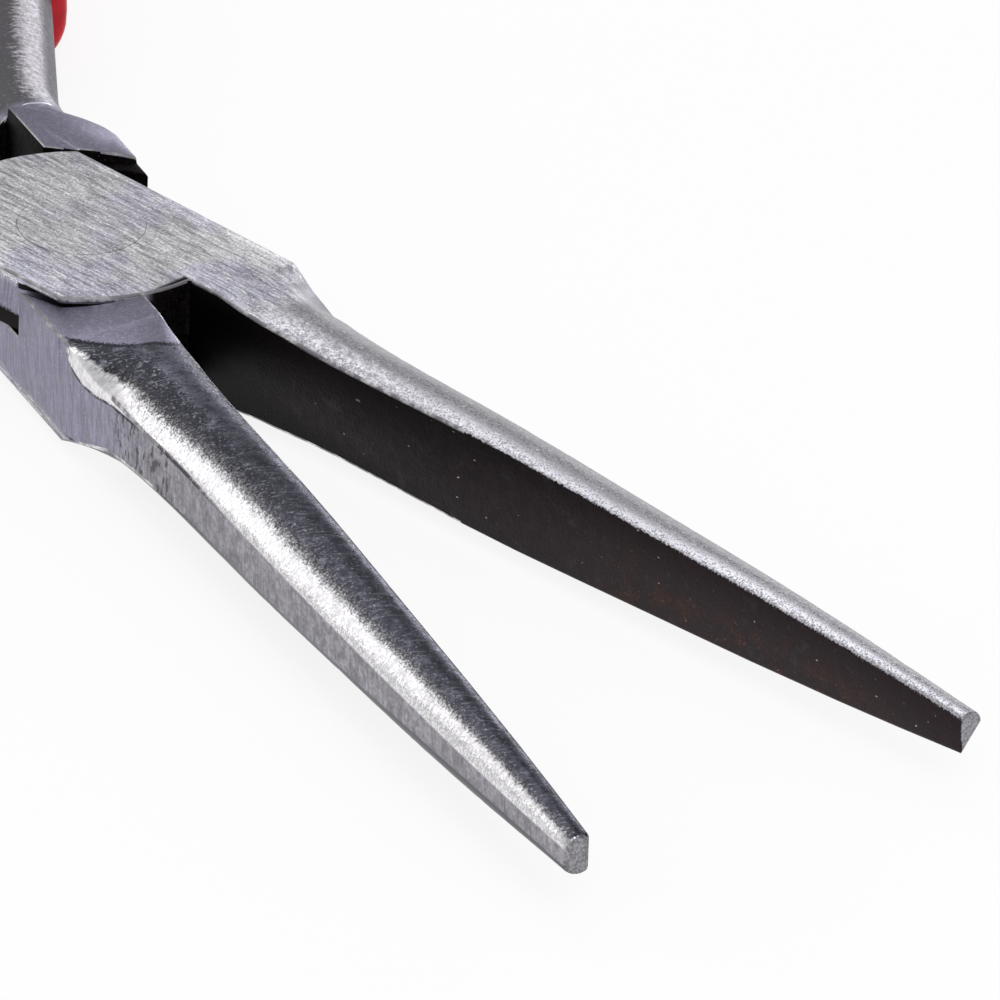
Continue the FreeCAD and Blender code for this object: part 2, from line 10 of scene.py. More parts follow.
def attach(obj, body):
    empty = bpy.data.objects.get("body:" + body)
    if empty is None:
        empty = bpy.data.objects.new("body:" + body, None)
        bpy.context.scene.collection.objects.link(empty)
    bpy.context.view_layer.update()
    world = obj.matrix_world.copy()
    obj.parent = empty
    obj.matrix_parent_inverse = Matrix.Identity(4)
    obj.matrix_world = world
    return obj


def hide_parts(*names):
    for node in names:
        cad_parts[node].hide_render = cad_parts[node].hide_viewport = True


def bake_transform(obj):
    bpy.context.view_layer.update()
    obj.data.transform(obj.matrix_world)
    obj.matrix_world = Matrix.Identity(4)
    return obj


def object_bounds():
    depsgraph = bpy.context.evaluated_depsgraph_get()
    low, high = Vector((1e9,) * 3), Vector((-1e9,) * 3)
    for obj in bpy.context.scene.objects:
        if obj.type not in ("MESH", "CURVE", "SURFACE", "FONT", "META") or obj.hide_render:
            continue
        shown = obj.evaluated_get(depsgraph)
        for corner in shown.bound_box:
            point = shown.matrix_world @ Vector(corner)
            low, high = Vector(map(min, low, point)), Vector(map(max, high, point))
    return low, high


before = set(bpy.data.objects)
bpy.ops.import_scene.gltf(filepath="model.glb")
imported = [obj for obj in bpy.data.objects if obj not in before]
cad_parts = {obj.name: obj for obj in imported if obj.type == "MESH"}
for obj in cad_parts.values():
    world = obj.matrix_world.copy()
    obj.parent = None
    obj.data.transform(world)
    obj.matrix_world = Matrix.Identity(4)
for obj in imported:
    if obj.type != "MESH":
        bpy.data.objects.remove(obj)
CAD_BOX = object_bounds()

bl_info = {
    "name": "Needle nose pliers",
    "version": (1, 0, 0),
    "blender": (4, 5, 0),
    "location": "View3D > Sidebar > Pliers",
    "description": "Builds needle nose pliers on their jointed frame",
    "category": "Object",
}

MM = 0.001
HALF_OPENING = math.radians(10.15)
MIDDLE_HEIGHT = 3.3
JAW_LENGTH = 65.0


# ---- sizes and colours ----


def colour_property(name, description, default):
    return bpy.props.FloatVectorProperty(
        name=name, description=description, default=default, subtype="COLOR", size=3, min=0, max=1
    )


def length_property(name, description, default, low, high):
    return bpy.props.FloatProperty(
        name=name, description=description, default=default, min=low, max=high,
        unit="LENGTH", subtype="DISTANCE",
    )


class SteelSettings(bpy.types.PropertyGroup):
    """Finish of the forged halves."""

    steel: colour_property("Steel", "Colour of the plain forged steel", (0.31, 0.30, 0.325))
    ground: colour_property("Ground face", "Colour of the brushed lap face", (0.97, 0.96, 0.97))
    tint: colour_property("Ground tint", "Colour of the lap face's bluish patches", (0.84, 0.83, 0.95))
    facet: colour_property("Facets", "Colour of the joint's smooth facets and sides", (0.235, 0.225, 0.295))
    jaw: colour_property("Blasted jaw", "Colour of the upper jaw", (0.44, 0.435, 0.475))
    # The dome's dark colour is partly its dark polish and partly a painted dark reflection.
    dome: colour_property("Polished jaw", "Colour of the lower jaw's dark dome", (0.072, 0.072, 0.092))
    oxide: colour_property("Gripping face", "Colour of the black gripping faces", (0.020, 0.015, 0.017))
    rust: colour_property("Rust", "Colour of the rust stains on the gripping faces", (0.062, 0.032, 0.024))
    edge_width: length_property("Edge width", "Width of the worn edges of the halves", 0.00014, 0, 0.0005)


class GripSettings(bpy.types.PropertyGroup):
    """Size and colour of the grips."""

    colour: colour_property("Vinyl", "Colour of the dipped vinyl", (0.50, 0.002, 0.013))
    wall: length_property("Wall", "Thickness of the sleeve", 0.00087, 0.0003, 0.002)
    rim: length_property("Rim", "Rounding of the mouth's outer rim", 0.0005, 0, 0.0008)


class SpringSettings(bpy.types.PropertyGroup):
    """Size and colour of the leaf springs."""

    colour: colour_property("Spring steel", "Colour of the leaf springs", (0.30, 0.30, 0.33))
    edge_width: length_property("Edge width", "Rounding of the leaf's edges", 0.00012, 0, 0.0003)


class StageSettings(bpy.types.PropertyGroup):
    """Floor and camera."""

    floor: colour_property("Floor", "Colour of the floor", (0.96, 0.96, 0.96))
    lens: bpy.props.FloatProperty(
        name="Lens", description="Focal length of the camera", default=821.1, unit="CAMERA", min=20, max=2000
    )


# ---- modelling helpers ----

SAME_POINT = 1e-6  # metres within which two points are one


def deselect_all():
    if bpy.context.mode != "OBJECT":
        bpy.ops.object.mode_set(mode="OBJECT")
    bpy.ops.object.select_all(action="DESELECT")


def make_active(piece):
    """Selects one piece alone."""
    deselect_all()
    piece.select_set(True)
    bpy.context.view_layer.objects.active = piece


def start_edit(piece, kind="FACE"):
    """Opens one piece in edit mode with nothing selected."""
    make_active(piece)
    bpy.ops.object.mode_set(mode="EDIT")
    bpy.ops.mesh.select_mode(type=kind)
    bpy.ops.mesh.select_all(action="DESELECT")


def end_edit():
    bpy.ops.object.mode_set(mode="OBJECT")


def pick(piece, kind, test):
    """Selects the vertices, edges or faces that pass the test."""
    mesh = bmesh.from_edit_mesh(piece.data)
    for item in {"VERT": mesh.verts, "EDGE": mesh.edges, "FACE": mesh.faces}[kind]:
        item.select_set(bool(test(item)))
    mesh.select_flush_mode()
    bmesh.update_edit_mesh(piece.data)


def extrude(step, count):
    """Draws the selected faces on by that many steps."""
    for _ in range(count):
        bpy.ops.mesh.extrude_region_move(TRANSFORM_OT_translate={"value": step})


def bevel_edges(**values):
    bpy.ops.mesh.bevel(affect="EDGES", **values)


def close_up():
    """Joins the ends of the drawn stretches, turns every face outward and leaves edit mode."""
    bpy.ops.mesh.select_mode(type="VERT")
    bpy.ops.mesh.select_all(action="SELECT")
    bpy.ops.mesh.remove_doubles(threshold=SAME_POINT)
    bpy.ops.mesh.normals_make_consistent(inside=False)
    end_edit()


def modifier(piece, kind, **values):
    """Adds a modifier with these values and applies it."""
    make_active(piece)
    added = piece.modifiers.new(kind.title(), kind)
    for name, value in values.items():
        setattr(added, name, value)
    bpy.ops.object.modifier_apply(modifier=added.name)


def smooth(piece, angle):
    make_active(piece)
    bpy.ops.object.shade_smooth_by_angle(angle=math.radians(angle))


def apply_place():
    bpy.ops.object.transform_apply(location=True, rotation=True, scale=True)


def settle(piece, transform):
    """Puts a piece modelled in a half's own axes where that half lies, with its object at the origin."""
    make_active(piece)
    piece.matrix_world = transform
    apply_place()


def copy_of(piece, name):
    twin = piece.copy()
    twin.data = piece.data.copy()
    twin.name = twin.data.name = name
    twin.parent = None
    bpy.context.scene.collection.objects.link(twin)
    return twin


def half_place(name):
    """The place of a half's own axes: jaw along +X, handle along -X and -Y, its lap side up."""
    lift = Matrix.Translation((0, 0, MIDDLE_HEIGHT * MM))
    if name == "upper":
        return lift @ Matrix.Rotation(HALF_OPENING, 4, "Z")
    return lift @ Matrix.Rotation(-HALF_OPENING, 4, "Z") @ Matrix.Rotation(math.pi, 4, "X")


def set_material(piece, material):
    piece.data.materials.clear()
    piece.data.materials.append(material)


# ---- material helpers ----


def tone(colour, gain):
    """A colour made lighter or darker."""
    return [part * gain for part in colour]


class Nodes:
    """A node tree under construction, with short calls for the nodes that the finishes use."""

    def __init__(self, tree):
        self.tree = tree

    def node(self, kind, inputs=None, **values):
        made = self.tree.nodes.new(kind)
        for name, value in values.items():
            setattr(made, name, value)
        for name, value in (inputs or {}).items():
            self.feed(made.inputs[name], value)
        return made

    def feed(self, socket, value):
        if isinstance(value, bpy.types.NodeSocket):
            self.tree.links.new(value, socket)
        else:
            socket.default_value = value

    def math(self, operation, first, second=0.0):
        return self.node("ShaderNodeMath", {0: first, 1: second}, operation=operation).outputs[0]

    def plus(self, first, second):
        return self.math("ADD", first, second)

    def minus(self, first, second):
        return self.math("SUBTRACT", first, second)

    def times(self, first, *others):
        for value in others:
            first = self.math("MULTIPLY", first, value)
        return first

    def step(self, value, low, high):
        """0 below low and 1 above high, smooth between them; low above high turns it round."""
        inputs = {"Value": value, "From Min": low, "From Max": high}
        return self.node("ShaderNodeMapRange", inputs, interpolation_type="SMOOTHSTEP").outputs["Result"]

    def band(self, value, low, high, soft):
        """1 between low and high, falling to 0 over soft at each side."""
        return self.times(self.step(value, low - soft, low), self.step(value, high + soft, high))

    def mix(self, factor, first, second):
        """One colour turning into another."""
        made = self.node("ShaderNodeMix", {0: factor}, data_type="RGBA")
        self.feed(made.inputs[6], self.colour(first))
        self.feed(made.inputs[7], self.colour(second))
        return made.outputs[2]

    def blend(self, factor, first, second):
        """One number turning into another."""
        return self.node("ShaderNodeMix", {0: factor, 2: first, 3: second}, data_type="FLOAT").outputs[0]

    def shade(self, factor, colour, shade):
        """A colour multiplied by another."""
        inputs = {0: factor, 6: colour, 7: self.colour(shade)}
        return self.node("ShaderNodeMix", inputs, data_type="RGBA", blend_type="MULTIPLY").outputs[2]

    def layers(self, under, *rows):
        """Lays colours over each other: rows of a mask, the share of the colour there and the colour."""
        for mask, share, colour in rows:
            under = self.mix(mask if share == 1 else self.times(mask, share), under, colour)
        return under

    def colour(self, value):
        if isinstance(value, bpy.types.NodeSocket):
            return value
        return (*tuple(value)[:3], 1.0)

    def noise(self, vector, scale, detail, roughness, stretch=(1, 1, 1)):
        placed = self.node("ShaderNodeMapping", {"Vector": vector, "Scale": stretch}).outputs[0]
        inputs = {"Vector": placed, "Scale": scale, "Detail": detail, "Roughness": roughness}
        return self.node("ShaderNodeTexNoise", inputs).outputs["Fac"]

    def place(self, name, **inputs):
        """Places a node group with these inputs."""
        made = self.node("ShaderNodeGroup")
        made.node_tree = bpy.data.node_groups[name]
        for key, value in inputs.items():
            self.feed(made.inputs[key], value)
        return made.outputs


class Finish(Nodes):
    """The nodes of a material that is placed in the millimetres of a half's own axes."""

    def __init__(self, name, half):
        self.material = bpy.data.materials.new(name)
        self.material.use_nodes = True
        super().__init__(self.material.node_tree)
        self.shader = self.tree.nodes["Principled BSDF"].inputs
        inputs = {
            "Vector": self.node("ShaderNodeTexCoord").outputs["Object"],
            "Location": (0, 0, -MIDDLE_HEIGHT if half == "upper" else MIDDLE_HEIGHT),
            "Rotation": (0.0 if half == "upper" else math.pi, 0, -HALF_OPENING),
            "Scale": (1 / MM, 1 / MM, 1 / MM),
        }
        self.vector = self.node("ShaderNodeMapping", inputs).outputs[0]
        self.along, self.across, self.up = self.node("ShaderNodeSeparateXYZ", {0: self.vector}).outputs

    def past(self, start, end):
        """0 before start and 1 after end along the half, in millimetres; start beyond end turns it round."""
        return self.step(self.along, start, end)

    def stretch(self, start, end, soft):
        """1 between two distances along the half, falling to 0 over soft at each side."""
        return self.band(self.along, start, end, soft)

    def cloud(self, *values):
        """Noise over the half's own axes."""
        return self.noise(self.vector, *values)

    def turned(self, *angles):
        """The half's axes turned by these angles, in degrees."""
        inputs = {"Vector": self.vector, "Rotation": [math.radians(angle) for angle in angles]}
        return self.node("ShaderNodeMapping", inputs).outputs[0]

    def place_ground(self, settings):
        colours = {"Colour": (*settings.ground, 1), "Tint": (*settings.tint, 1)}
        return self.place("ground lap", Vector=self.vector, **colours)

    def dress(self, base, rough, relief, depth, strength, metallic=1.0):
        """Feeds the shader; the relief's depth is in millimetres."""
        bump = {"Height": relief, "Distance": depth * MM, "Strength": strength}
        sockets = {
            "Base Color": base,
            "Roughness": rough,
            "Metallic": metallic,
            "Normal": self.node("ShaderNodeBump", bump).outputs["Normal"],
        }
        for name, value in sockets.items():
            self.feed(self.shader[name], value)
        return self.material


def new_group(name, inputs, outputs):
    """A new shader node group: inputs are rows of name, socket type and default, outputs names and types."""
    tree = bpy.data.node_groups.new(name, "ShaderNodeTree")
    for label, kind, default in inputs:
        socket = tree.interface.new_socket(label, in_out="INPUT", socket_type=kind)
        if default is not None:
            socket.default_value = default
    for label, kind in outputs.items():
        tree.interface.new_socket(label, in_out="OUTPUT", socket_type=kind)
    return Nodes(tree), tree.nodes.new("NodeGroupInput").outputs, tree.nodes.new("NodeGroupOutput").inputs


def streaked_group(name, outputs):
    """A new group that is placed by a vector and its fineness; also its scaled vector."""
    inputs = [("Vector", "NodeSocketVector", None), ("Fineness", "NodeSocketFloat", 1.0)]
    nodes, start, end = new_group(name, inputs, {output: "NodeSocketFloat" for output in outputs})
    inputs = {0: start["Vector"], "Scale": start["Fineness"]}
    return nodes, nodes.node("ShaderNodeVectorMath", inputs, operation="SCALE").outputs[0], end


def build_brushed_group():
    """Fine scratches along one axis, with some deeper ones."""
    nodes, vector, end = streaked_group("brushed steel", ("Lines", "Scratches"))
    line = nodes.noise(vector, 1.0, 4.0, 0.7, (0.45, 4.2, 4.2))
    deep = nodes.noise(vector, 1.0, 2.0, 0.5, (0.7, 6.4, 6.4))
    nodes.feed(end["Lines"], nodes.step(line, 0.3, 0.7))
    nodes.feed(end["Scratches"], nodes.step(deep, 0.57, 0.68))


def build_grain_group():
    """The coarse and the fine grain of a blasted surface, and its small bright specks."""
    nodes, vector, end = streaked_group("blasted grain", ("Grain", "Fine", "Specks"))
    nodes.feed(end["Grain"], nodes.step(nodes.noise(vector, 4.4, 3.0, 0.65), 0.34, 0.66))
    nodes.feed(end["Fine"], nodes.step(nodes.noise(vector, 8.5, 2.0, 0.6), 0.32, 0.68))
    nodes.feed(end["Specks"], nodes.step(nodes.noise(vector, 6.5, 1.0, 0.5), 0.62, 0.72))


def build_ground_group():
    """The ground lap: a tone made of brushed lines, grit and bright specks, and its relief."""
    inputs = [
        ("Vector", "NodeSocketVector", None),
        ("Colour", "NodeSocketColor", (0.6, 0.6, 0.6, 1)),
        ("Bright", "NodeSocketColor", (0.95, 0.94, 0.95, 1)),
        ("Tint", "NodeSocketColor", (0.5, 0.5, 0.6, 1)),
    ]
    outputs = {"Colour": "NodeSocketColor", "Roughness": "NodeSocketFloat", "Relief": "NodeSocketFloat"}
    nodes, start, end = new_group("ground lap", inputs, outputs)
    vector, bright = start["Vector"], start["Bright"]
    brushed = nodes.place("brushed steel", Vector=vector, Fineness=1.0)
    blasted = nodes.place("blasted grain", Vector=vector, Fineness=0.9)
    lines = brushed["Lines"]
    bluish = nodes.step(nodes.noise(vector, 0.22, 2.0, 0.5), 0.42, 0.62)
    colour = nodes.mix(bluish, start["Colour"], start["Tint"])
    colour = nodes.shade(nodes.minus(1.0, lines), colour, (0.34, 0.34, 0.36))
    colour = nodes.layers(colour, (brushed["Scratches"], 0.95, bright), (blasted["Specks"], 0.75, bright))
    grit = nodes.times(nodes.minus(1.0, blasted["Fine"]), 0.75)
    nodes.feed(end["Colour"], nodes.shade(grit, colour, (0.45, 0.45, 0.47)))
    nodes.feed(end["Roughness"], nodes.blend(lines, 0.40, 0.52))
    nodes.feed(end["Relief"], nodes.plus(nodes.times(lines, 0.6), nodes.times(blasted["Grain"], 0.4)))


# The jaw along its length, in millimetres: distance from the pivot, half height of the gripping face,
# width, half height of the flat side, radius of the crown between them.
JAW_SECTIONS = [
    (12.5, 2.99, 5.42, 2.42, 7.5),
    (15.2, 2.84, 4.82, 1.62, 3.8),
    (19.5, 2.65, 4.50, 1.32, 3.4),
    (28.0, 2.74, 4.10, 1.14, 3.1),
    (38.0, 2.50, 3.64, 0.95, 2.9),
    (48.0, 2.10, 2.95, 0.68, 2.1),
    (57.5, 1.58, 2.16, 0.46, 1.45),
    (65.0, 0.97, 1.48, 0.42, 0.92),
]
# A curve node holds values from 0 to 1, which stand for minus to plus half this span, in millimetres.
CURVE_SPAN = 20.0
# Height of the line where the lower jaw's dome rolls over onto its flat side: distance, height.
ROLL_LINE = [(10.4, 2.75), (10.9, 2.05), (11.8, 1.5), (13.0, 1.15), (15.4, 1.12), (19.5, 1.3)]
ROLL_END = ROLL_LINE[-1][0]
# Stretches along the half, in millimetres from the pivot, over which one finish turns into the next.
JAW_BEGINS = (12.75, 13.15)
BLOCK_BEGINS = (-14.6, -13.6)
LAP_BEGINS = (-11.5, -10.5)
LAP_ENDS = (12.8, 14.2)
SIDE_WEARS = (12.5, 21.0)
END_BEGINS = (JAW_LENGTH - 0.1, JAW_LENGTH - 0.03)
# The handle's middle line: where it starts to lean, how steeply, and how far it lies across before that.
HANDLE_LEANS_AT = -16.1
HANDLE_SLOPE = 0.392
HANDLE_ACROSS = -2.95
HANDLE_HALF_WIDTH = 2.7


def crown_centre(face, width, side, crown):
    """Centre of the crown's arc, which runs from the gripping face's edge to the flat side's edge."""
    chord = Vector((width, side - face))
    across_chord = Vector((face - side, width)).normalized()
    drop = math.sqrt(crown**2 - (chord.length / 2) ** 2)
    return Vector((width, face + side)) / 2 - across_chord * drop


class ForgedFinish(Finish):
    """Finish of one half: brushed lap, blasted handle, blackened gripping face, polished or blasted jaw."""

    def __init__(self, name, half, settings):
        super().__init__(name, half)
        self.settings = settings
        self.is_lower = half == "lower"
        upright = self.turned(0, 84, 0)
        self.lines, self.scratches = self.place("brushed steel", Vector=upright, Fineness=1.2)
        self.grain, self.fine, self.specks = self.place("blasted grain", Vector=self.vector, Fineness=1.0)
        self.mottle = self.cloud(1.4, 4.0, 0.6)
        self.fine_shift = self.minus(self.fine, 0.5)
        self.find_jaw()
        self.find_regions()
        self.flank = self.flank_tone()

    def low_grain(self, top=0.6):
        """Mask of the hollows between the coarse grains."""
        return self.step(self.grain, top, 0.1)

    def line_along(self, rows):
        """A value that changes along the jaw: rows of distance and value, in millimetres."""
        made = self.node("ShaderNodeFloatCurve", {"Value": self.math("DIVIDE", self.along, JAW_LENGTH)})
        curve = made.mapping.curves[0]
        rows = [(distance / JAW_LENGTH, value / CURVE_SPAN + 0.5) for distance, value in rows]
        curve.points[0].location = (0.0, rows[0][1])
        curve.points[1].location = rows[-1]
        for row in rows[:-1]:
            curve.points.new(*row)
        made.mapping.update()
        return self.times(self.minus(made.outputs[0], 0.5), CURVE_SPAN)

    def along_jaw(self, pick_value):
        """A size of the jaw's section as a value that changes along the jaw."""
        return self.line_along([(row[0], pick_value(*row[1:])) for row in JAW_SECTIONS])

    def find_jaw(self):
        """Where the jaw begins, the height where it rolls over and the crown's lean at each point."""
        height = self.math("ABSOLUTE", self.up)
        side_height = self.along_jaw(lambda face, width, side, crown: side)
        centre_across = self.along_jaw(lambda *sizes: crown_centre(*sizes).x)
        centre_up = self.along_jaw(lambda *sizes: crown_centre(*sizes).y)
        lean = self.math("ARCTAN2", self.minus(self.across, centre_across), self.minus(height, centre_up))
        self.lean = self.math("DEGREES", lean)
        self.edge = self.plus(self.along, self.times(self.fine_shift, 0.25))
        if self.is_lower:
            self.upper_face = self.step(self.up, 0.0, -0.4)
            outer = self.math("MAXIMUM", self.across, 0.0)
            slant = self.minus(self.times(outer, outer, 0.115), 0.5)
            self.jaw_start = self.plus(self.edge, self.times(slant, self.upper_face))
            rows = ROLL_LINE + [(row[0], row[3]) for row in JAW_SECTIONS if row[0] > ROLL_END]
            roll = self.blend(self.upper_face, side_height, self.line_along(rows))
        else:
            self.jaw_start = self.edge
            roll = side_height
        self.above_side = self.minus(height, roll)
        width = self.along_jaw(lambda face, width, side, crown: width)
        self.from_outer = self.minus(width, self.across)

    def find_regions(self):
        """Masks of the jaw, its gripping face and flat side, the lap and the joint's block."""
        self.on_jaw = self.step(self.jaw_start, *JAW_BEGINS)
        rim = self.plus(self.across, self.times(self.fine_shift, 0.035))
        if not self.is_lower:
            rim = self.minus(rim, self.times(self.step(self.up, 0.0, -0.8), 0.09))
        self.grip_face = self.times(self.step(rim, 0.06, 0.02), self.past(7.6, 7.9))
        beside = self.step(self.from_outer, 0.5, 0.2)
        self.flat_side = self.times(self.step(self.above_side, 0.12, 0.0), beside, self.on_jaw)
        on_top = self.step(self.up, 2.5, 2.9)
        before_end = self.step(self.edge, *reversed(LAP_ENDS))
        self.lap = self.times(on_top, before_end, self.past(*LAP_BEGINS))
        before_jaw = self.step(self.jaw_start, *reversed(JAW_BEGINS))
        self.block = self.times(before_jaw, self.past(*BLOCK_BEGINS))

    def handle_tone(self):
        """The round handle, toned across its width: painted shade on one side of its middle line, a painted
        highlight towards the outer side and painted shade again at its outer edge, with marks that run around
        the handle.
        """
        lean = self.math("MINIMUM", self.minus(self.along, HANDLE_LEANS_AT), 0.0)
        middle_line = self.plus(self.times(lean, HANDLE_SLOPE), HANDLE_ACROSS)
        outward = self.math("DIVIDE", self.minus(middle_line, self.across), HANDLE_HALF_WIDTH)
        around = self.cloud(1.0, 4.0, 0.7, (3.6, 1.7, 1.7))
        rough_outward = self.plus(outward, self.times(self.minus(around, 0.5), 0.9))
        steel = tone(self.settings.steel, 1.22 if self.is_lower else 1.0)
        specks = self.times(self.specks, self.blend(self.step(outward, -0.2, 0.2), 0.08, 0.35))
        # The first two rows paint the round handle's shading: shade on one side of the middle line, a
        # highlight towards the outer side, shade at the edge; the specks brighten on the highlight's side.
        return self.layers(
            self.mix(self.step(rough_outward, 0.0, 0.3), tone(steel, 0.31), tone(steel, 1.6)),
            (self.step(outward, 0.62, 0.85), 1, tone(steel, 0.8)),
            (self.minus(1.0, self.step(around, 0.36, 0.64)), 0.45, tone(steel, 0.38)),
            (self.low_grain(), 0.4, tone(steel, 0.3)),
            (specks, 1, (0.85, 0.84, 0.86)),
        )

    def facet_tone(self):
        """The smooth facets on the block."""
        facet = self.settings.facet
        return self.layers(
            self.mix(self.step(self.mottle, 0.3, 0.7), tone(facet, 0.94), tone(facet, 1.05)),
            (self.lines, 0.25, tone(facet, 1.3)),
            (self.fine, 0.45, tone(facet, 0.68)),
            (self.low_grain(0.5), 0.35, tone(facet, 1.6)),
            (self.specks, 0.15, (0.7, 0.7, 0.75)),
        )

    def flank_tone(self):
        """The block's upright outer sides."""
        facet = tone(self.settings.facet, 1.27 if self.is_lower else 1.0)
        return self.layers(
            self.mix(self.step(self.lines, 0.2, 0.8), tone(facet, 0.92), tone(facet, 1.24)),
            (self.fine, 0.35, tone(facet, 0.75)),
            (self.specks, 0.3, (0.6, 0.58, 0.64)),
            (self.step(self.mottle, 0.5, 0.68), 0.5, (0.25, 0.255, 0.255)),
            (self.scratches, 0.35, (0.5, 0.48, 0.52)),
        )

    def blasted_jaw_tone(self):
        """The upper jaw's crown, toned by its lean: grainy and sparkly, with a painted highlight on the band
        beside the gripping face, painted shade on the outer band, mottled near the joint.
        """
        jaw = self.settings.jaw
        rough_lean = self.plus(self.lean, self.times(self.fine_shift, 16.0))
        inner_band = self.step(rough_lean, 12.0, -10.0)
        inner = self.mix(self.past(40.0, 52.0), tone(jaw, 1.6), tone(jaw, 2.0))
        inner = self.mix(self.step(rough_lean, -14.0, -25.0), inner, tone(jaw, 1.2))
        depth = self.blend(inner_band, 0.22, 0.75)
        coarse = self.cloud(3.2, 4.0, 0.7)
        near = self.past(34.0, 18.0)
        # Painted by lean: the first row darkens the outer band as painted shade, and the band beside the
        # gripping face carries a painted highlight over its sparkly grain.
        return self.layers(
            self.mix(self.step(self.lean, 26.0, 42.0), tone(jaw, 0.42), tone(jaw, 0.55)),
            (inner_band, 1, inner),
            (self.times(self.step(self.fine, 0.5, 0.1), depth), 1, tone(jaw, 0.5)),
            (self.times(self.specks, depth), 1, (0.95, 0.95, 0.97)),
            (self.times(self.step(coarse, 0.54, 0.40), near), 0.6, tone(jaw, 0.6)),
            (self.times(self.step(coarse, 0.50, 0.66), near, inner_band), 0.4, tone(jaw, 1.9)),
        )

    def polished_jaw_tone(self):
        """The lower jaw's dome, toned by its lean: a dark polish along its crown, darkened further by a
        painted dark reflection, painted light and shade towards the gripping face, painted highlights where
        it rolls over, scratched across.
        """
        dome = self.settings.dome
        cross = self.place("brushed steel", Vector=self.turned(0, 0, 66), Fineness=1.0)
        strokes = self.cloud(1.0, 3.0, 0.65, (4.4, 2.2, 2.2))
        blotch = self.cloud(1.3, 4.0, 0.7)
        near = self.past(27.0, 16.0)
        streaks = self.plus(self.times(self.minus(strokes, 0.5), 17.0), self.times(self.fine_shift, 12.0))
        rough_lean = self.plus(self.lean, streaks)
        rise = self.minus(rough_lean, self.times(self.past(26.0, 16.0), 5.0))
        marks = self.times(cross["Lines"], self.blend(self.past(34.0, 16.0), 0.3, 0.6))
        painted_dark_reflection = self.mix(self.past(16.0, 52.0), tone(dome, 0.45), tone(dome, 0.85))
        flecks = self.times(self.step(self.lean, -19.0, -24.0), self.step(strokes, 0.52, 0.60))
        flecks = self.times(flecks, self.past(62.0, 56.0))
        # A painted highlight where the dome rolls over; the next tone is a brighter painted highlight nearer
        # the flat side.
        bright = self.layers(
            self.mix(self.step(strokes, 0.62, 0.38), (0.68, 0.665, 0.68), (0.54, 0.53, 0.545)),
            (self.step(self.fine, 0.45, 0.1), 0.35, (0.32, 0.31, 0.32)),
        )
        rolled = self.layers(
            self.mix(self.step(self.fine, 0.25, 0.75), (0.60, 0.59, 0.61), (0.93, 0.915, 0.93)),
            (self.step(strokes, 0.50, 0.40), 0.5, (0.48, 0.47, 0.49)),
        )
        lift = self.times(self.step(rough_lean, 20.0, 36.0), self.blend(near, 0.3, 0.08))
        # Rows by lean: the lift below -9 degrees is painted light and the darkening below -10 and -20 degrees
        # painted shade against the edge's sheen; the row from 15 degrees is a painted dark reflection; the
        # rows from 20, 30 and 50 degrees and the strip are painted highlights.
        return self.layers(
            self.mix(marks, tone(dome, 0.8), tone(dome, 1.7)),
            (near, 0.75, tone(dome, 2.3)),
            (self.step(rough_lean, -1.0, -9.0), 0.5, tone(dome, 2.1)),
            (self.step(rough_lean, -10.0, -20.0), 1, tone(dome, 0.5)),
            (self.step(self.lean, -20.0, -28.0), 1, tone(dome, 0.3)),
            (self.step(rough_lean, 3.0, 15.0), 1, painted_dark_reflection),
            (self.step(blotch, 0.52, 0.40), 0.55, tone(dome, 0.4)),
            (self.step(blotch, 0.54, 0.66), 0.55, tone(dome, 2.1)),
            (flecks, 0.42, (0.4, 0.4, 0.42)),
            (self.step(strokes, 0.46, 0.36), 0.6, tone(dome, 0.4)),
            (cross["Scratches"], 0.35, (0.28, 0.28, 0.31)),
            (self.specks, 0.3, (0.5, 0.5, 0.55)),
            (lift, 1, (0.36, 0.355, 0.365)),
            (self.step(rise, 30.0, 45.0), 1, bright),
            (self.step(rough_lean, 50.0, 62.0), 1, rolled),
            (self.step(self.up, 0.2, 0.5), 1, (0.13, 0.125, 0.135)),
            (self.painted_strip_mask(strokes), 1, self.painted_strip_highlight(strokes)),
        )

    def painted_strip_mask(self, strokes):
        """Mask of the rolled edge where a painted highlight carries the dome's highlight back over the
        block's outer side.
        """
        slant = self.times(self.minus(self.along, 10.6), 0.3)
        streaks = self.times(self.minus(strokes, 0.5), 0.9)
        place = self.plus(self.plus(self.across, slant), streaks)
        strip = self.times(self.step(place, 5.4, 5.75), self.stretch(11.2, 15.4, 1.6))
        return self.times(strip, self.upper_face)

    def painted_strip_highlight(self, strokes):
        """That strip, with a painted highlight."""
        return self.mix(self.step(strokes, 0.62, 0.38), (0.92, 0.90, 0.92), (0.70, 0.69, 0.71))

    def side_tone(self):
        """The jaw's flat side, scratched upright; the block's own side runs into it."""
        steel = tone(self.settings.steel, 1.26 if self.is_lower else 1.0)
        side = self.mix(self.lines, tone(steel, 0.8), tone(steel, 1.3))
        side = self.mix(self.step(self.mottle, 0.36, 0.62), tone(steel, 0.68), side)
        side = self.layers(
            side,
            (self.low_grain(), 0.4, tone(steel, 0.42)),
            (self.specks, 0.35, (0.6, 0.58, 0.6)),
            (self.scratches, 0.3, (0.6, 0.58, 0.6)),
        )
        return self.mix(self.past(*SIDE_WEARS), self.flank, side)

    def crease(self):
        """Mask of the dark line between the lower jaw's dome and its flat side."""
        broken = self.step(self.plus(self.mottle, self.times(self.fine_shift, 0.2)), 0.36, 0.48)
        stretch = self.times(self.past(10.8, 11.6), self.past(30.0, 24.0))
        line = self.times(self.band(self.above_side, -0.02, 0.1, 0.06), stretch)
        return self.times(line, self.step(self.from_outer, 0.9, 0.6), broken)

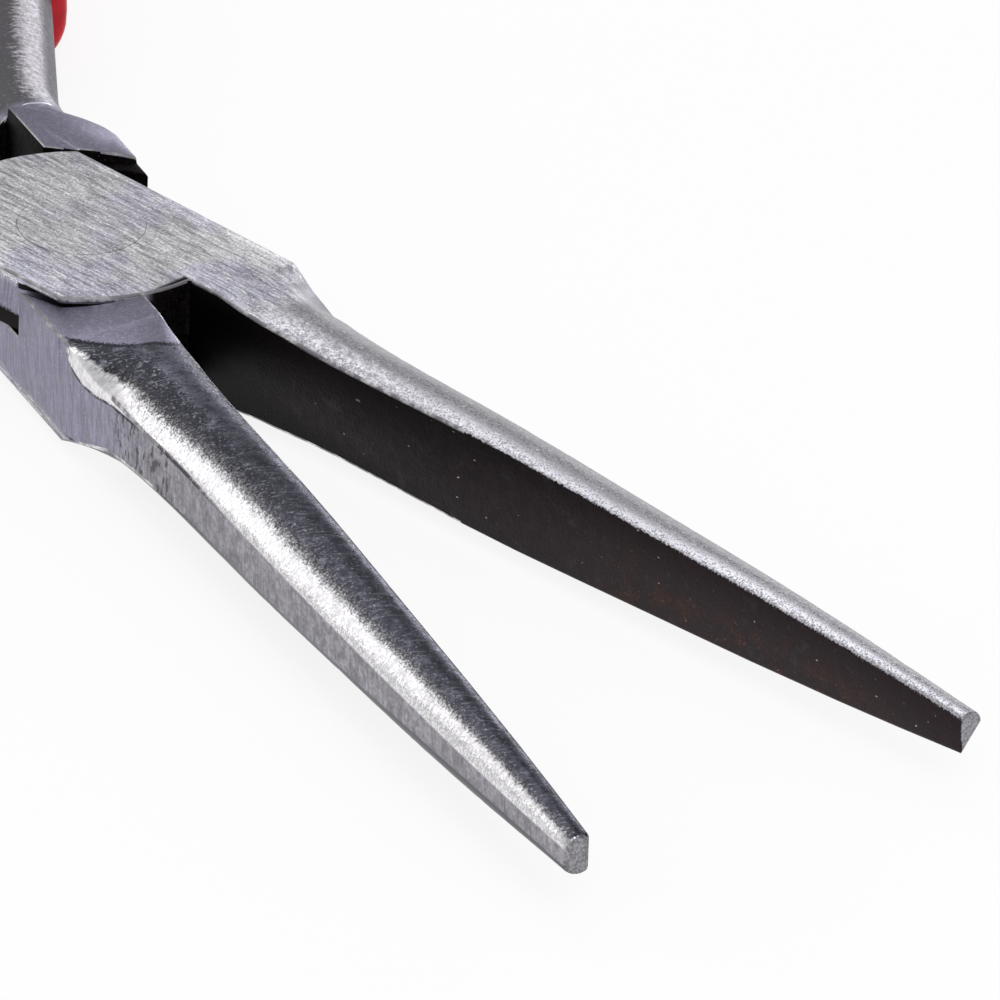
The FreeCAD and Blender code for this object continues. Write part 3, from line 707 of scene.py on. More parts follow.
    def end_tone(self):
        """The jaw's blunt end."""
        steel = tone(self.settings.steel, 0.8) if self.is_lower else tone(self.settings.jaw, 0.62)
        end = self.mix(self.step(self.grain, 0.3, 0.7), tone(steel, 0.78), tone(steel, 1.3))
        return self.layers(end, (self.specks, 0.3, (0.85, 0.84, 0.86)))

    def shadowed(self):
        """Mask of the painted shadow under the lap's lip and in the notch at the foot of the block."""
        from_relief = self.minus(self.times(self.along, 0.44), self.times(self.across, 0.898))
        under_lip = self.times(self.band(from_relief, 6.7, 6.9, 0.1), self.band(self.up, 2.62, 2.9, 0.06))
        under_lip = self.times(under_lip, self.step(self.across, -5.2, -5.8))
        foot = self.times(self.step(self.across, -6.3, -6.4), self.stretch(-0.3, 2.4, 0.25))
        rough_up = self.plus(self.up, self.times(self.fine_shift, 0.2))
        foot = self.times(foot, self.band(rough_up, -0.1, 0.95, 0.15))
        return self.math("MAXIMUM", under_lip, foot)

    def gripping_tone(self):
        """The gripping face: black scale, rust stains and crumbs far out, scuffs and small bright chips; near
        the joint, painted light on its upper part and painted shade on its lower part and closest to the
        joint.
        """
        oxide = self.settings.oxide
        patch = self.cloud(0.55, 5.0, 0.7)
        crumb = self.cloud(3.0, 3.0, 0.6)
        chip = self.cloud(2.3, 1.0, 0.4, (0.8, 1.0, 1.5))
        rough_up = self.plus(self.up, self.times(self.minus(patch, 0.5), 4.0))
        low_side = self.step(rough_up, 0.9, -0.9)
        stain = self.times(self.step(patch, 0.46, 0.60), self.stretch(42.0, 57.0, 5.0))
        stain = self.times(stain, self.blend(low_side, 0.25, 1.0))
        rusty = self.times(stain, self.blend(self.grain, 0.25, 0.85))
        rust_crumbs = self.times(self.step(crumb, 0.58, 0.68), self.times(stain, low_side))
        grey_crumbs = self.times(self.step(crumb, 0.36, 0.28), self.stretch(40.0, 60.0, 6.0))
        scuff = self.times(self.step(patch, 0.44, 0.32), self.blend(self.fine, 0.2, 0.9))
        near_joint = self.blend(self.past(13.0, 33.0), 1.0, 0.15)
        return self.layers(
            self.mix(self.past(10.0, 50.0), tone(oxide, 0.45), tone(oxide, 1.6)),
            (self.step(self.mottle, 0.35, 0.7), 0.5, tone(oxide, 1.9)),
            (rusty, 1, self.settings.rust),
            (rust_crumbs, 0.75, (0.135, 0.072, 0.05)),
            (scuff, 1, (0.058, 0.055, 0.052)),
            (grey_crumbs, 0.6, (0.12, 0.115, 0.105)),
            (self.specks, 0.015, (0.5, 0.47, 0.46)),
            (self.step(chip, 0.745, 0.78), 0.8, (0.55, 0.53, 0.52)),
            # Near the joint: painted light on the upper part, painted shade on the lower part and closest to
            # the joint.
            (self.times(self.step(self.up, -0.6, 2.4), near_joint), 1, tone(oxide, 1.3)),
            (self.times(self.step(self.up, -0.4, -2.8), near_joint), 1, tone(oxide, 0.2)),
            (self.past(19.0, 12.0), 0.6, tone(oxide, 0.2)),
        )

    def base_tone(self, ground):
        """All tones of the half, laid over each other."""
        outer_side = self.step(self.across, 5.25, 5.45)
        outer_side = self.math("MAXIMUM", outer_side, self.step(self.across, -6.25, -6.4))
        # A tiny step face between the handle and the block, painted light to hide its dark shading.
        ledge = self.times(self.stretch(-13.94, -13.86, 0.02), self.band(self.across, -4.2, -2.7, 0.2))
        jaw = self.polished_jaw_tone() if self.is_lower else self.blasted_jaw_tone()
        steel = self.layers(
            self.handle_tone(),
            (self.block, 1, self.mix(outer_side, self.facet_tone(), self.flank)),
            (ledge, 1, (0.9, 0.88, 0.93)),
            (self.on_jaw, 1, jaw),
        )
        if self.is_lower:
            # Painted shadow along the seam where the dome starts under the facet's edge.
            seam = self.times(self.band(self.jaw_start, 12.95, 13.2, 0.15), self.step(self.up, -1.6, -2.4))
            steel = self.layers(steel, (seam, 0.85, (0.02, 0.02, 0.025)))
        dent = self.cloud(1.0, 2.0, 0.6, (3.0, 3.0, 1.2))
        dents = self.times(self.step(dent, 0.47, 0.40), self.stretch(16.5, 21.5, 1.5), self.flat_side)
        steel = self.layers(steel, (self.flat_side, 1, self.side_tone()), (dents, 0.75, (0.06, 0.05, 0.06)))
        if self.is_lower:
            steel = self.layers(steel, (self.crease(), 0.85, (0.03, 0.028, 0.032)))
        rough_along = self.plus(self.along, self.times(self.fine_shift, 0.1))
        at_end = self.step(rough_along, *END_BEGINS)
        steel = self.layers(steel, (at_end, 1, self.end_tone()), (self.lap, 1, ground["Colour"]))
        if not self.is_lower:
            # Painted shade on the upper half's drawn-in shoulder, dimming a highlight there.
            shoulder = self.times(self.band(self.edge, 12.0, 13.7, 0.7), self.step(self.across, 3.0, 4.2))
            shoulder = self.times(shoulder, self.step(self.up, 1.4, 1.9))
            steel = self.layers(steel, (shoulder, 0.8, (0.17, 0.17, 0.20)))
        return self.layers(
            steel,
            # Painted shadow under the lap's lip and at the block's foot, in the gripping face's black.
            (self.shadowed(), 1, tone(self.settings.oxide, 0.5)),
            (self.grip_face, 1, self.gripping_tone()),
        )

    def build(self):
        ground = self.place_ground(self.settings)
        rough = self.blend(self.block, 0.48, 0.38)
        rough = self.blend(self.on_jaw, rough, 0.30 if self.is_lower else 0.42)
        rough = self.blend(self.flat_side, rough, 0.42)
        rough = self.blend(self.lap, rough, ground["Roughness"])
        rough = self.blend(self.grip_face, rough, 0.52)
        depth = self.blend(self.on_jaw, 0.8, 0.35 if self.is_lower else 0.8)
        relief = self.times(self.grain, depth)
        relief = self.blend(self.block, relief, self.times(self.fine, 0.3))
        relief = self.blend(self.flat_side, relief, self.times(self.lines, 0.6))
        relief = self.blend(self.lap, relief, ground["Relief"])
        if self.is_lower:
            self.feed(self.shader["Specular Tint"], (0.68, 0.68, 0.70, 1))
        return self.dress(self.base_tone(ground), rough, relief, 0.012, 0.7)


def worn_steel(name, half, settings):
    """Edges rubbed bright, broken by duller stretches."""
    nodes = Finish(name, half)
    grain = nodes.place("blasted grain", Vector=nodes.vector, Fineness=1.0)["Grain"]
    patch = nodes.step(nodes.cloud(0.9, 3.0, 0.6), 0.45, 0.62)
    bright = nodes.times(patch, nodes.blend(grain, 0.5, 1.0))
    bright = nodes.times(bright, nodes.blend(nodes.past(14.0, 11.0), 1.0, 0.45))
    base = nodes.mix(bright, tone(settings.steel, 0.8), (0.80, 0.79, 0.80))
    return nodes.dress(base, nodes.blend(bright, 0.45, 0.3), grain, 0.012, 0.5)


def scale_and_shade_steel(name, half, settings):
    """Unground walls inside the joint: black scale, painted as black as the shade between the halves, with a
    little grey showing and painted light on the wall under the lap's lip.
    """
    nodes = Finish(name, half)
    blasted = nodes.place("blasted grain", Vector=nodes.vector, Fineness=1.0)
    scale = nodes.cloud(1.6, 4.0, 0.6)
    # Painted light on the wall under the lap's lip, so the shaded gap there reads like the facet.
    painted_light_under_lap = nodes.times(
        nodes.past(4.3, 5.4), nodes.step(nodes.up, 2.6, 2.8), nodes.step(nodes.across, -2.2, -3.2)
    )
    base = nodes.layers(
        nodes.mix(nodes.step(scale, 0.35, 0.7), tone(settings.oxide, 0.2), tone(settings.oxide, 0.5)),
        (blasted["Specks"], 0.05, (0.4, 0.38, 0.38)),
        (painted_light_under_lap, 1, (0.5, 0.49, 0.56)),
    )
    return nodes.dress(base, nodes.blend(scale, 0.45, 0.7), blasted["Grain"], 0.02, 0.6)


def rivet_steel(name, settings):
    """The lap's brushed finish on the rivet that lies flush in it."""
    nodes = Finish(name, "upper")
    ground = nodes.place_ground(settings)
    return nodes.dress(ground["Colour"], ground["Roughness"], ground["Relief"], 0.012, 0.7)


def spring_steel(name, half, settings):
    """Rolled strip: faint lines along it and a blued tint."""
    nodes = Finish(name, half)
    grain = nodes.place("blasted grain", Vector=nodes.vector, Fineness=1.4)["Grain"]
    line = nodes.cloud(1.0, 3.0, 0.6, (0.25, 0.25, 7.0))
    blued = nodes.step(nodes.cloud(0.5, 2.0, 0.5), 0.5, 0.8)
    base = nodes.mix(nodes.step(line, 0.3, 0.7), tone(settings.colour, 0.8), tone(settings.colour, 1.25))
    base = nodes.layers(base, (blued, 0.4, (0.16, 0.19, 0.30)))
    relief = nodes.plus(nodes.times(line, 0.6), nodes.times(grain, 0.2))
    return nodes.dress(base, nodes.blend(line, 0.26, 0.42), relief, 0.015, 0.5)


def vinyl(name, half, settings):
    """Dipped vinyl: glossy, with a faint waviness, small pores and a duller film of handling."""
    nodes = Finish(name, half)
    wave = nodes.cloud(0.28, 2.0, 0.5)
    film = nodes.cloud(0.7, 4.0, 0.6)
    pore = nodes.step(nodes.cloud(5.0, 2.0, 0.6), 0.35, 0.25)
    base = nodes.mix(nodes.step(film, 0.35, 0.75), settings.colour, tone(settings.colour, 0.8))
    rough = nodes.blend(nodes.step(film, 0.3, 0.8), 0.22, 0.38)
    values = {"IOR": 1.5, "Specular IOR Level": 0.3, "Subsurface Weight": 0.05, "Subsurface Scale": 0.4 * MM}
    for key, value in values.items():
        nodes.feed(nodes.shader[key], value)
    return nodes.dress(base, rough, nodes.plus(wave, nodes.times(pore, -0.12)), 0.12, 0.5, metallic=0.0)


# ---- shared finishes and forged halves ----

TIP_ROUNDING = {"lower": 0.26, "upper": 0.12}
SHARP_EDGE = 33  # degrees from which an edge counts as one that wears
BORE_REACH = 3.6
SHOULDER_LINE = 10.4
# How far the upper half's shoulder is drawn in, and over what reach round it.
SHOULDER_DRAW = 0.36
SHOULDER_REACH = 1.7
# Flat that takes the lower corner off the upper jaw's end: a point of it and the way it faces.
TIP_TRIM_POINT = (65.0, 1.52, 0.48)
TIP_TRIM_FACING = (0.8, 0.395, -0.452)
# A half's materials, by their slots.
FORGED, SCALE_AND_SHADE, WORN = range(3)


class PLIERS_OT_finishes(bpy.types.Operator):
    """Builds the node groups that the finishes share"""

    bl_idname = "pliers.finishes"
    bl_label = "Finishes"

    def execute(self, context):
        build_brushed_group()
        build_grain_group()
        build_ground_group()
        return {"FINISHED"}


class PLIERS_OT_halves(bpy.types.Operator):
    """Gives the two forged halves worn edges and their finish"""

    bl_idname = "pliers.halves"
    bl_label = "Forged halves"

    def execute(self, context):
        settings = context.scene.pliers_steel
        for half in ("lower", "upper"):
            place = half_place(half)
            to_half = place.inverted()
            piece = copy_of(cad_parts[half + "_half"], half + "_forged_half")
            self.merge_faces(piece)
            if half == "upper":
                self.hollow_shoulder(piece, place)
            set_material(piece, ForgedFinish(half + " forged steel", half, settings).build())
            piece.data.materials.append(scale_and_shade_steel(half + " scale and shade steel", half, settings))
            piece.data.materials.append(worn_steel(half + " worn steel", half, settings))
            self.round_tip(piece, to_half, TIP_ROUNDING[half] * MM)
            self.wear_edges(piece, to_half, settings.edge_width)
            if half == "upper":
                self.trim_tip(piece, place)
            smooth(piece, 40)
            self.blacken_joint(piece, to_half)
            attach(piece, half + "_half_body")
            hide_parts(half + "_half")
        return {"FINISHED"}

    def merge_faces(self, piece):
        """Joins the frame mesh's triangles into its flat faces."""
        start_edit(piece, "VERT")
        bpy.ops.mesh.select_all(action="SELECT")
        bpy.ops.mesh.remove_doubles(threshold=1.5e-5)
        bpy.ops.mesh.dissolve_limited(angle_limit=math.radians(0.8))
        bpy.ops.mesh.normals_make_consistent(inside=False)
        bpy.ops.mesh.customdata_custom_splitnormals_clear()
        end_edit()

    def hollow_shoulder(self, piece, place):
        """Draws the outline in where the lap's shoulder runs out into the jaw."""
        to_half = place.inverted()

        def on_shoulder(vert):
            spot = to_half @ vert.co / MM
            return 12.0 < spot.x < 14.8 and spot.y > 4.2 and spot.z > 1.7

        start_edit(piece, "VERT")
        pick(piece, "VERT", on_shoulder)
        bpy.ops.transform.translate(
            value=place.to_3x3() @ Vector((0, -SHOULDER_DRAW * MM, 0)),
            use_proportional_edit=True,
            proportional_edit_falloff="SMOOTH",
            proportional_size=SHOULDER_REACH * MM,
        )
        end_edit()

    def trim_tip(self, piece, place):
        """Takes the far lower corner off the jaw's end."""
        start_edit(piece, "EDGE")
        bpy.ops.mesh.select_all(action="SELECT")
        bpy.ops.mesh.bisect(
            plane_co=place @ (Vector(TIP_TRIM_POINT) * MM),
            plane_no=place.to_3x3() @ Vector(TIP_TRIM_FACING),
            clear_outer=True,
        )
        bpy.ops.mesh.select_all(action="DESELECT")
        bpy.ops.mesh.select_non_manifold()
        bpy.ops.mesh.remove_doubles(threshold=4e-6)
        bpy.ops.mesh.select_all(action="DESELECT")
        bpy.ops.mesh.select_non_manifold()
        bpy.ops.mesh.fill_holes(sides=0)
        end_edit()

    def round_tip(self, piece, to_half, width):
        """Rounds the rim of the jaw's end, blunted by use."""

        def at_tip(edge):
            return all((to_half @ vert.co).x > (JAW_LENGTH - 0.08) * MM for vert in edge.verts)

        start_edit(piece, "EDGE")
        pick(piece, "EDGE", at_tip)
        bevel_edges(offset=width, segments=4, loop_slide=False)
        end_edit()

    def wear_edges(self, piece, to_half, width):
        """Rounds the outer edges, but not the bore's rims nor the seams between smooth stretches."""

        def wears(edge):
            ends = [to_half @ vert.co / MM for vert in edge.verts]
            in_bore = all(math.hypot(end.x, end.y) < BORE_REACH for end in ends)
            shoulder_seam = all(abs(end.x - SHOULDER_LINE) < 0.15 and abs(end.z) > 3.2 for end in ends)
            root_seam = all(-14.4 < end.x < -13.2 and abs(end.z) > 2.6 and end.y < -1.7 for end in ends)
            return not (in_bore or shoulder_seam or root_seam)

        start_edit(piece, "EDGE")
        bpy.ops.mesh.edges_select_sharp(sharpness=math.radians(SHARP_EDGE))
        pick(piece, "EDGE", lambda edge: edge.select and wears(edge))
        bevel_edges(
            offset=width, segments=2, clamp_overlap=False, loop_slide=False, material=WORN, miter_outer="ARC"
        )
        end_edit()

    def blacken_joint(self, piece, to_half):
        """Gives the walls inside the joint and the worn edges between them black scale painted as dark as the
        shade between the halves, and some worn edges their plain finish back.
        """
        turn = to_half.to_3x3()
        for face in piece.data.polygons:
            spot = to_half @ face.center / MM
            normal = turn @ face.normal
            worn = face.material_index == WORN
            # Walls and edges inside the joint take the black scale with painted shade.
            if self.is_inside(spot, normal) or (worn and self.is_inner_edge(spot, normal)):
                face.material_index = SCALE_AND_SHADE
            elif worn and self.is_unworn(spot, normal):
                face.material_index = FORGED

    def is_inside(self, spot, normal):
        """True on the walls and the step that the other half's lap hides."""
        reach = math.hypot(spot.x, spot.y)
        lip = spot.z > 2.85 and spot.y < -3.4 and spot.x > 4.3
        relief = normal.x > 0.3 and normal.y < -0.8 and spot.x > 2.0 and abs(normal.z) < 0.1
        upright = abs(normal.z) < 0.35 and reach < 9.9 and -6.3 < spot.y < 5.2
        root_wall = normal.y > 0.9 and -1.7 < spot.y < -1.2 and -15 < spot.x < -8
        back_wall = normal.x > 0.8 and -14 < spot.x < -13 and spot.y > -1.7
        step = abs(normal.z) > 0.9 and abs(spot.z) < 2.15 and reach < 10.5
        return (upright and not lip and not relief) or root_wall or back_wall or step

    def is_inner_edge(self, spot, normal):
        """True on the rounded edges between those walls."""
        reach = math.hypot(spot.x, spot.y)
        inner = reach < 9.0 and -6.3 < spot.y < 5.2 and abs(spot.z) < 3.0
        nose = normal.x > 0.5 and -9 < spot.x < -7 and -4.5 < spot.y < -1.7
        ledge = abs(spot.z) < 2.15 and reach < 10.5 and spot.x < 0 and -7 < spot.y < 5.2
        foot = abs(spot.z) < 0.4 and spot.y < -6 and -0.6 < spot.x < 2.8
        return inner or nose or ledge or foot

    def is_unworn(self, spot, normal):
        """True on the gripping face's edge, the dome's rolled edge and the seam at its start."""
        gripping = spot.x > 28 and normal.y < -0.15
        # On the lower half the forged finish paints a highlight strip over the rolled edge and a shadow along
        # the seam, so these worn faces take it.
        roll = 10.8 < spot.x < 15.5 and spot.y > 4.3 and spot.z < -0.9
        seam = 11.5 < spot.x < 14.0 and 0.3 < spot.y < 5.0 and spot.z < -2.3
        return gripping or roll or seam


class PLIERS_OT_rivets(bpy.types.Operator):
    """Finishes the pivot rivet and the two spring rivets"""

    bl_idname = "pliers.rivets"
    bl_label = "Rivets"

    def execute(self, context):
        finish = rivet_steel("rivet steel", context.scene.pliers_steel)
        for name in ("pivot_rivet", "lower_spring_rivet", "upper_spring_rivet"):
            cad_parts[name].material_slots[0].material = finish
        return {"FINISHED"}


# ---- grips ----

# The handle flares outward from the joint's block along a straight stretch, past a bend of radius 12.
FLARE_ANGLE = math.radians(21.4)
FLARE_BEND = 12
FLARE_DIRECTION = Vector((-math.cos(FLARE_ANGLE), -math.sin(FLARE_ANGLE), 0))
FLARE_INWARD = Vector((-math.sin(FLARE_ANGLE), math.cos(FLARE_ANGLE), 0))
FLARE_START = Vector(
    (-13.9 - FLARE_BEND * math.sin(FLARE_ANGLE), -2.95 - FLARE_BEND * (1 - math.cos(FLARE_ANGLE)), 0)
)
FLARE_LENGTH = 20.0
# Turns a flat outline upright, square to the flare.
FLARE_SQUARE = (math.pi / 2, 0, math.pi / 2 + FLARE_ANGLE)
GRIP_MOUTH = 11.6
GRIP_RADIUS = 3.45
GRIP_RISE = 0.45  # how far the sleeve's round top and bottom are drawn apart
GRIP_BEND = 60
GRIP_TURN = math.radians(28.4)
GRIP_TAIL_LEAN = math.radians(7)
GRIP_TAIL_STEP = 2.0
GRIP_TAIL_END = 2.8
GRIP_END_ROUNDING = 2.6


def on_flare(distance, inward=0.0):
    return (FLARE_START + FLARE_DIRECTION * distance + FLARE_INWARD * inward) * MM


class PLIERS_OT_grips(bpy.types.Operator):
    """Models the dipped vinyl sleeves of the two handles"""

    bl_idname = "pliers.grips"
    bl_label = "Grips"

    def execute(self, context):
        settings = context.scene.pliers_grips
        mouth = on_flare(GRIP_MOUTH)
        tail = Vector((-math.cos(GRIP_TAIL_LEAN), math.sin(GRIP_TAIL_LEAN), 0))
        piece = self.draw_sleeve(mouth, tail)
        self.round_end(piece, tail)
        self.open_mouth(piece, mouth, settings)
        smooth(piece, 50)
        twin = copy_of(piece, "upper_dipped_grip")
        for half, made in (("lower", piece), ("upper", twin)):
            settle(made, half_place(half))
            set_material(made, vinyl(half + " dipped vinyl", half, settings))
            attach(made, half + "_half_body")
            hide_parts(half + "_grip")
        return {"FINISHED"}

    def draw_sleeve(self, mouth, tail):
        """Draws the sleeve's outline along the handle, as a solid."""
        deselect_all()
        bpy.ops.mesh.primitive_circle_add(
            vertices=48, radius=GRIP_RADIUS * MM, fill_type="NGON", location=mouth, rotation=FLARE_SQUARE
        )
        piece = bpy.context.object
        piece.name = piece.data.name = "lower_dipped_grip"
        apply_place()
        start_edit(piece, "VERT")
        for side in (1, -1):
            pick(piece, "VERT", lambda vert: side * vert.co.z > SAME_POINT)
            bpy.ops.transform.translate(value=(0, 0, side * GRIP_RISE * MM))
        bpy.ops.mesh.select_all(action="SELECT")
        bpy.ops.mesh.select_mode(type="FACE")
        bpy.ops.mesh.select_all(action="SELECT")
        extrude(FLARE_DIRECTION * ((FLARE_LENGTH - GRIP_MOUTH) / 6) * MM, 6)
        bend = on_flare(FLARE_LENGTH) + FLARE_INWARD * GRIP_BEND * MM
        bpy.ops.mesh.spin(steps=24, angle=GRIP_TURN, center=bend, axis=(0, 0, 1))
        extrude(tail * GRIP_TAIL_STEP * MM, 11)
        extrude(tail * GRIP_TAIL_END * MM, 1)
        close_up()
        return piece

    def round_end(self, piece, tail):
        """Rounds the closed end of the sleeve."""
        far = max(vert.co.dot(tail) for vert in piece.data.vertices)
        start_edit(piece, "EDGE")
        pick(piece, "EDGE", lambda edge: all(vert.co.dot(tail) > far - SAME_POINT for vert in edge.verts))
        bevel_edges(offset=GRIP_END_ROUNDING * MM, segments=8)
        end_edit()

    def open_mouth(self, piece, mouth, settings):
        """Opens the sleeve's mouth, gives it its wall and rounds its outer rim."""

        def at_mouth(item):
            return all(abs((vert.co - mouth).dot(FLARE_DIRECTION)) < SAME_POINT for vert in item.verts)

        def on_outer(edge):
            return all((vert.co - mouth).length > (GRIP_RADIUS - 0.25) * MM for vert in edge.verts)

        start_edit(piece, "FACE")
        pick(piece, "FACE", lambda face: len(face.verts) > 4 and at_mouth(face))
        bpy.ops.mesh.delete(type="FACE")
        end_edit()
        modifier(piece, "SOLIDIFY", thickness=settings.wall, offset=-1)
        start_edit(piece, "EDGE")
        pick(piece, "EDGE", lambda edge: at_mouth(edge) and on_outer(edge))
        bevel_edges(offset=settings.rim, segments=4)
        end_edit()


# ---- leaf springs ----

LEAF_THICKNESS = 0.6
LEAF_WIDTH = 4.0
LEAF_SEAT_START = 0.2
LEAF_SEAT_END = 7.2
LEAF_SINK = 2.2
LEAF_BEND = 5.0
LEAF_TURN = math.radians(68)
LEAF_RISE = LEAF_TURN - FLARE_ANGLE
LEAF_CURL = 5.0
LEAF_CURL_TURN = math.radians(75)
LEAF_CLEARANCE = 0.45


class PLIERS_OT_springs(bpy.types.Operator):
    """Models the two leaf springs between the handles"""

    bl_idname = "pliers.springs"
    bl_label = "Leaf springs"

    def execute(self, context):
        settings = context.scene.pliers_springs
        seat_end = on_flare(LEAF_SEAT_END, LEAF_SINK)
        piece = self.draw_leaf(seat_end)
        limits = {"limit_method": "ANGLE", "angle_limit": math.radians(40)}
        modifier(piece, "BEVEL", width=settings.edge_width, segments=2, **limits)
        smooth(piece, 40)
        twin = copy_of(piece, "upper_leaf")
        for half, other, made in (("lower", "upper", piece), ("upper", "lower", twin)):
            place = half_place(half)
            settle(made, place)
            set_material(made, spring_steel(half + " spring steel", half, settings))
            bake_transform(made)
            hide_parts(half + "_leaf_spring")
        return {"FINISHED"}

    def draw_leaf(self, seat_end):
        """Draws the strip along its seat, through its bend and up to the curl at the middle line."""
        start = on_flare(LEAF_SEAT_START, LEAF_SINK)
        run = Vector((-math.cos(LEAF_RISE), math.sin(LEAF_RISE), 0))
        run_inward = Vector((math.sin(LEAF_RISE), math.cos(LEAF_RISE), 0))
        bend_centre = seat_end + FLARE_INWARD * LEAF_BEND * MM
        bend_end = bend_centre - run_inward * LEAF_BEND * MM
        closing = LEAF_RISE - HALF_OPENING
        room = -bend_end.x * math.sin(HALF_OPENING) - bend_end.y * math.cos(HALF_OPENING)
        room -= (LEAF_CURL * (1 - math.cos(closing)) + LEAF_CLEARANCE) * MM
        run_length = room / math.sin(closing)
        curl_centre = bend_end + run * run_length - run_inward * LEAF_CURL * MM
        deselect_all()
        bpy.ops.mesh.primitive_plane_add(size=1, location=start, rotation=FLARE_SQUARE)
        piece = bpy.context.object
        piece.name = piece.data.name = "lower_leaf"
        piece.scale = (LEAF_THICKNESS * MM, LEAF_WIDTH * MM, 1)
        apply_place()
        start_edit(piece, "FACE")
        bpy.ops.mesh.select_all(action="SELECT")
        extrude((seat_end - start) / 4, 4)
        bpy.ops.mesh.spin(steps=14, angle=LEAF_TURN, center=bend_centre, axis=(0, 0, 1))
        extrude(run * run_length / 8, 8)
        bpy.ops.mesh.spin(steps=14, angle=-LEAF_CURL_TURN, center=curl_centre, axis=(0, 0, 1))
        close_up()
        return piece


# ---- stage ----

CAMERA_AZIMUTH = math.radians(54.67)
CAMERA_ELEVATION = math.radians(28.93)
CAMERA_ROLL = math.radians(2.02)
CAMERA_DISTANCE = 1.2
CAMERA_SHIFT = (0.02209, -0.01163)
# Lamps: name, direction from the joint, distance, size and power.
LAMPS = [
    ("overhead lamp", (-0.58, 0.08, 0.81), 0.9, (0.5, 0.5), 1.0),
    ("shoulder lamp", (-0.84, -0.41, 0.34), 0.9, (0.35, 0.5), 0.95),
    ("rear lamp", (-0.56, 0.80, 0.20), 0.9, (0.3, 0.25), 1.0),
    ("front lamp", (0.8, -0.3, 0.8), 1.0, (0.6, 0.6), 4.5),
]


def area_lamp(name, direction, distance, size, power):
    """A soft white lamp that faces the joint from that direction."""
    aim = Vector(direction).normalized()
    data = bpy.data.lights.new(name, "AREA")
    data.shape = "RECTANGLE"
    data.size, data.size_y = size
    data.energy = power
    lamp = bpy.data.objects.new(name, data)
    lamp.location = aim * distance
    lamp.rotation_mode = "QUATERNION"
    lamp.rotation_quaternion = aim.to_track_quat("Z", "Y")
    bpy.context.scene.collection.objects.link(lamp)


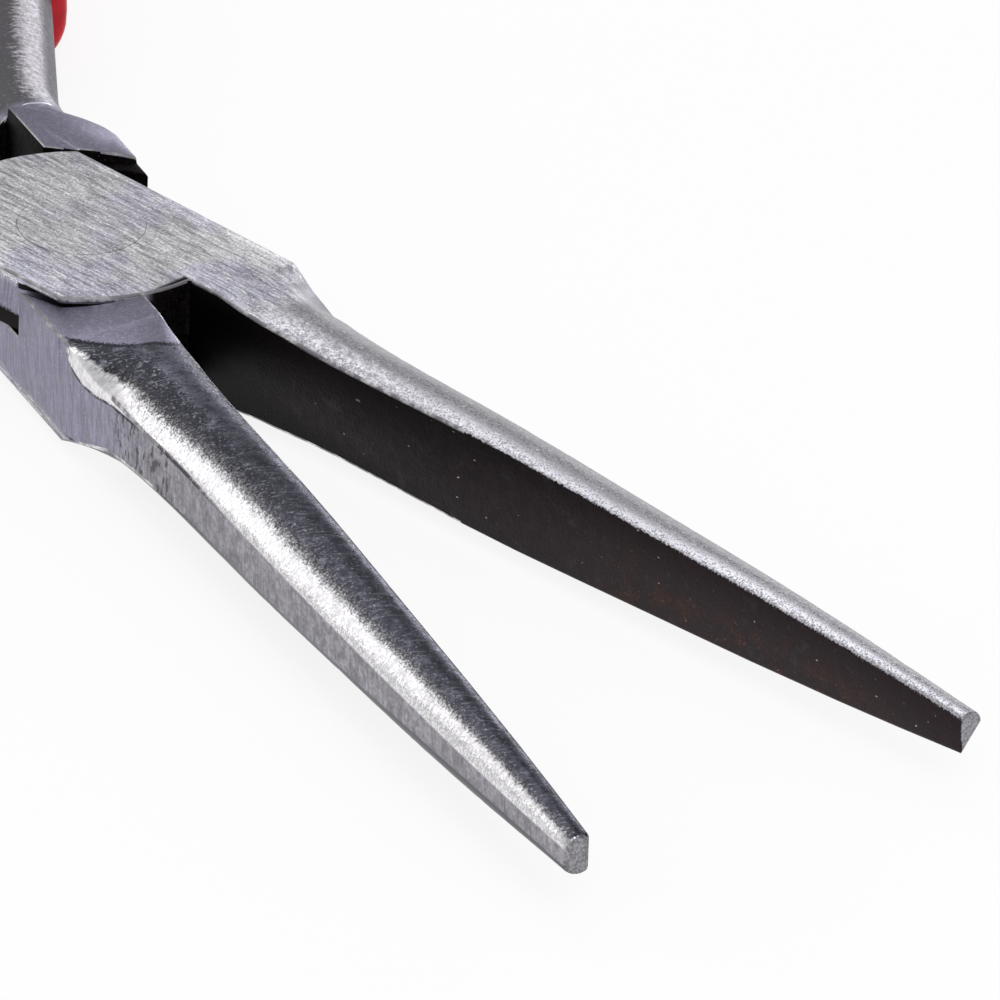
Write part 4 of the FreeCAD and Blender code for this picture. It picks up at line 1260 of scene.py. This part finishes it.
class PLIERS_OT_stage(bpy.types.Operator):
    """Lays the floor and sets the world, the lamps and the camera"""

    bl_idname = "pliers.stage"
    bl_label = "Stage"

    def execute(self, context):
        settings = context.scene.pliers_stage
        self.lay_floor(settings)
        self.set_world(context.scene)
        for row in LAMPS:
            area_lamp(*row)
        self.set_camera(context.scene, settings)
        context.scene.view_settings.view_transform = "Standard"
        return {"FINISHED"}

    def lay_floor(self, settings):
        """A pale floor that the camera and the reflections see as nearly white."""
        deselect_all()
        low = CAD_BOX[0]
        bpy.ops.mesh.primitive_plane_add(size=6.0, location=(0, 0, low.z))
        floor = bpy.context.object
        floor.name = "floor"
        apply_place()
        material = bpy.data.materials.new("floor")
        material.use_nodes = True
        nodes = Nodes(material.node_tree)
        shader = material.node_tree.nodes["Principled BSDF"]
        nodes.feed(shader.inputs["Base Color"], (*settings.floor, 1))
        nodes.feed(shader.inputs["Roughness"], 0.9)
        path = nodes.node("ShaderNodeLightPath").outputs
        seen = nodes.math("MAXIMUM", path["Is Camera Ray"], path["Is Glossy Ray"])
        seen = nodes.math("MAXIMUM", seen, path["Is Transmission Ray"])
        glow = nodes.node("ShaderNodeEmission", {"Color": (1, 1, 1, 1), "Strength": 1.0}).outputs[0]
        inputs = {0: nodes.times(seen, 0.85), 1: shader.outputs[0], 2: glow}
        mixed = nodes.node("ShaderNodeMixShader", inputs).outputs[0]
        nodes.feed(material.node_tree.nodes["Material Output"].inputs["Surface"], mixed)
        set_material(floor, material)

    def set_world(self, scene):
        """A white studio, a little dimmer overhead."""
        world = bpy.data.worlds.new("studio")
        scene.world = world
        world.use_nodes = True
        nodes = Nodes(world.node_tree)
        direction = nodes.node("ShaderNodeTexCoord").outputs["Generated"]
        height = nodes.node("ShaderNodeSeparateXYZ", {0: direction}).outputs[2]
        background = world.node_tree.nodes["Background"].inputs
        nodes.feed(background["Color"], (1, 1, 1, 1))
        nodes.feed(background["Strength"], nodes.blend(nodes.step(height, 0.0, 0.9), 0.62, 0.50))

    def set_camera(self, scene, settings):
        right = Vector((math.cos(CAMERA_AZIMUTH), math.sin(CAMERA_AZIMUTH), 0))
        back = Vector((
            math.sin(CAMERA_AZIMUTH) * math.cos(CAMERA_ELEVATION),
            -math.cos(CAMERA_AZIMUTH) * math.cos(CAMERA_ELEVATION),
            math.sin(CAMERA_ELEVATION),
        ))
        up = back.cross(right)
        turned = right * math.cos(CAMERA_ROLL) + up * math.sin(CAMERA_ROLL)
        risen = up * math.cos(CAMERA_ROLL) - right * math.sin(CAMERA_ROLL)
        place = Matrix((turned, risen, back)).transposed().to_4x4()
        place.translation = (
            turned * CAMERA_SHIFT[0] + risen * CAMERA_SHIFT[1] + back * CAMERA_DISTANCE
            + Vector((0, 0, MIDDLE_HEIGHT * MM))
        )
        data = bpy.data.cameras.new("camera")
        data.lens = settings.lens
        data.sensor_width = 36
        data.clip_end = 10
        camera = bpy.data.objects.new("camera", data)
        scene.collection.objects.link(camera)
        camera.matrix_world = place
        scene.camera = camera


# ---- panel ----


class PLIERS_PT_panel(bpy.types.Panel):
    """Lists the pieces and their settings"""

    bl_idname = "PLIERS_PT_panel"
    bl_label = "Needle nose pliers"
    bl_space_type = "VIEW_3D"
    bl_region_type = "UI"
    bl_category = "Pliers"

    def draw(self, context):
        for operator in OPERATORS:
            self.layout.operator(operator.bl_idname)
        for name in SETTINGS:
            settings = getattr(context.scene, name)
            box = self.layout.box()
            for key in settings.bl_rna.properties.keys():
                if key not in ("rna_type", "name"):
                    box.prop(settings, key)


SETTINGS = {
    "pliers_steel": SteelSettings,
    "pliers_grips": GripSettings,
    "pliers_springs": SpringSettings,
    "pliers_stage": StageSettings,
}
OPERATORS = (
    PLIERS_OT_finishes,
    PLIERS_OT_halves,
    PLIERS_OT_rivets,
    PLIERS_OT_grips,
    PLIERS_OT_springs,
    PLIERS_OT_stage,
)


def register():
    for group_class in SETTINGS.values():
        bpy.utils.register_class(group_class)
    for operator in OPERATORS:
        bpy.utils.register_class(operator)
    bpy.utils.register_class(PLIERS_PT_panel)
    for name, group_class in SETTINGS.items():
        setattr(bpy.types.Scene, name, bpy.props.PointerProperty(type=group_class))


def unregister():
    for name in SETTINGS:
        delattr(bpy.types.Scene, name)
    bpy.utils.unregister_class(PLIERS_PT_panel)
    for operator in reversed(OPERATORS):
        bpy.utils.unregister_class(operator)
    for group_class in reversed(SETTINGS.values()):
        bpy.utils.unregister_class(group_class)


def main():
    register()
    bpy.ops.pliers.finishes()
    bpy.ops.pliers.halves()
    bpy.ops.pliers.rivets()
    bpy.ops.pliers.grips()
    bpy.ops.pliers.springs()
    bpy.ops.pliers.stage()


if __name__ == "__main__":
    main()
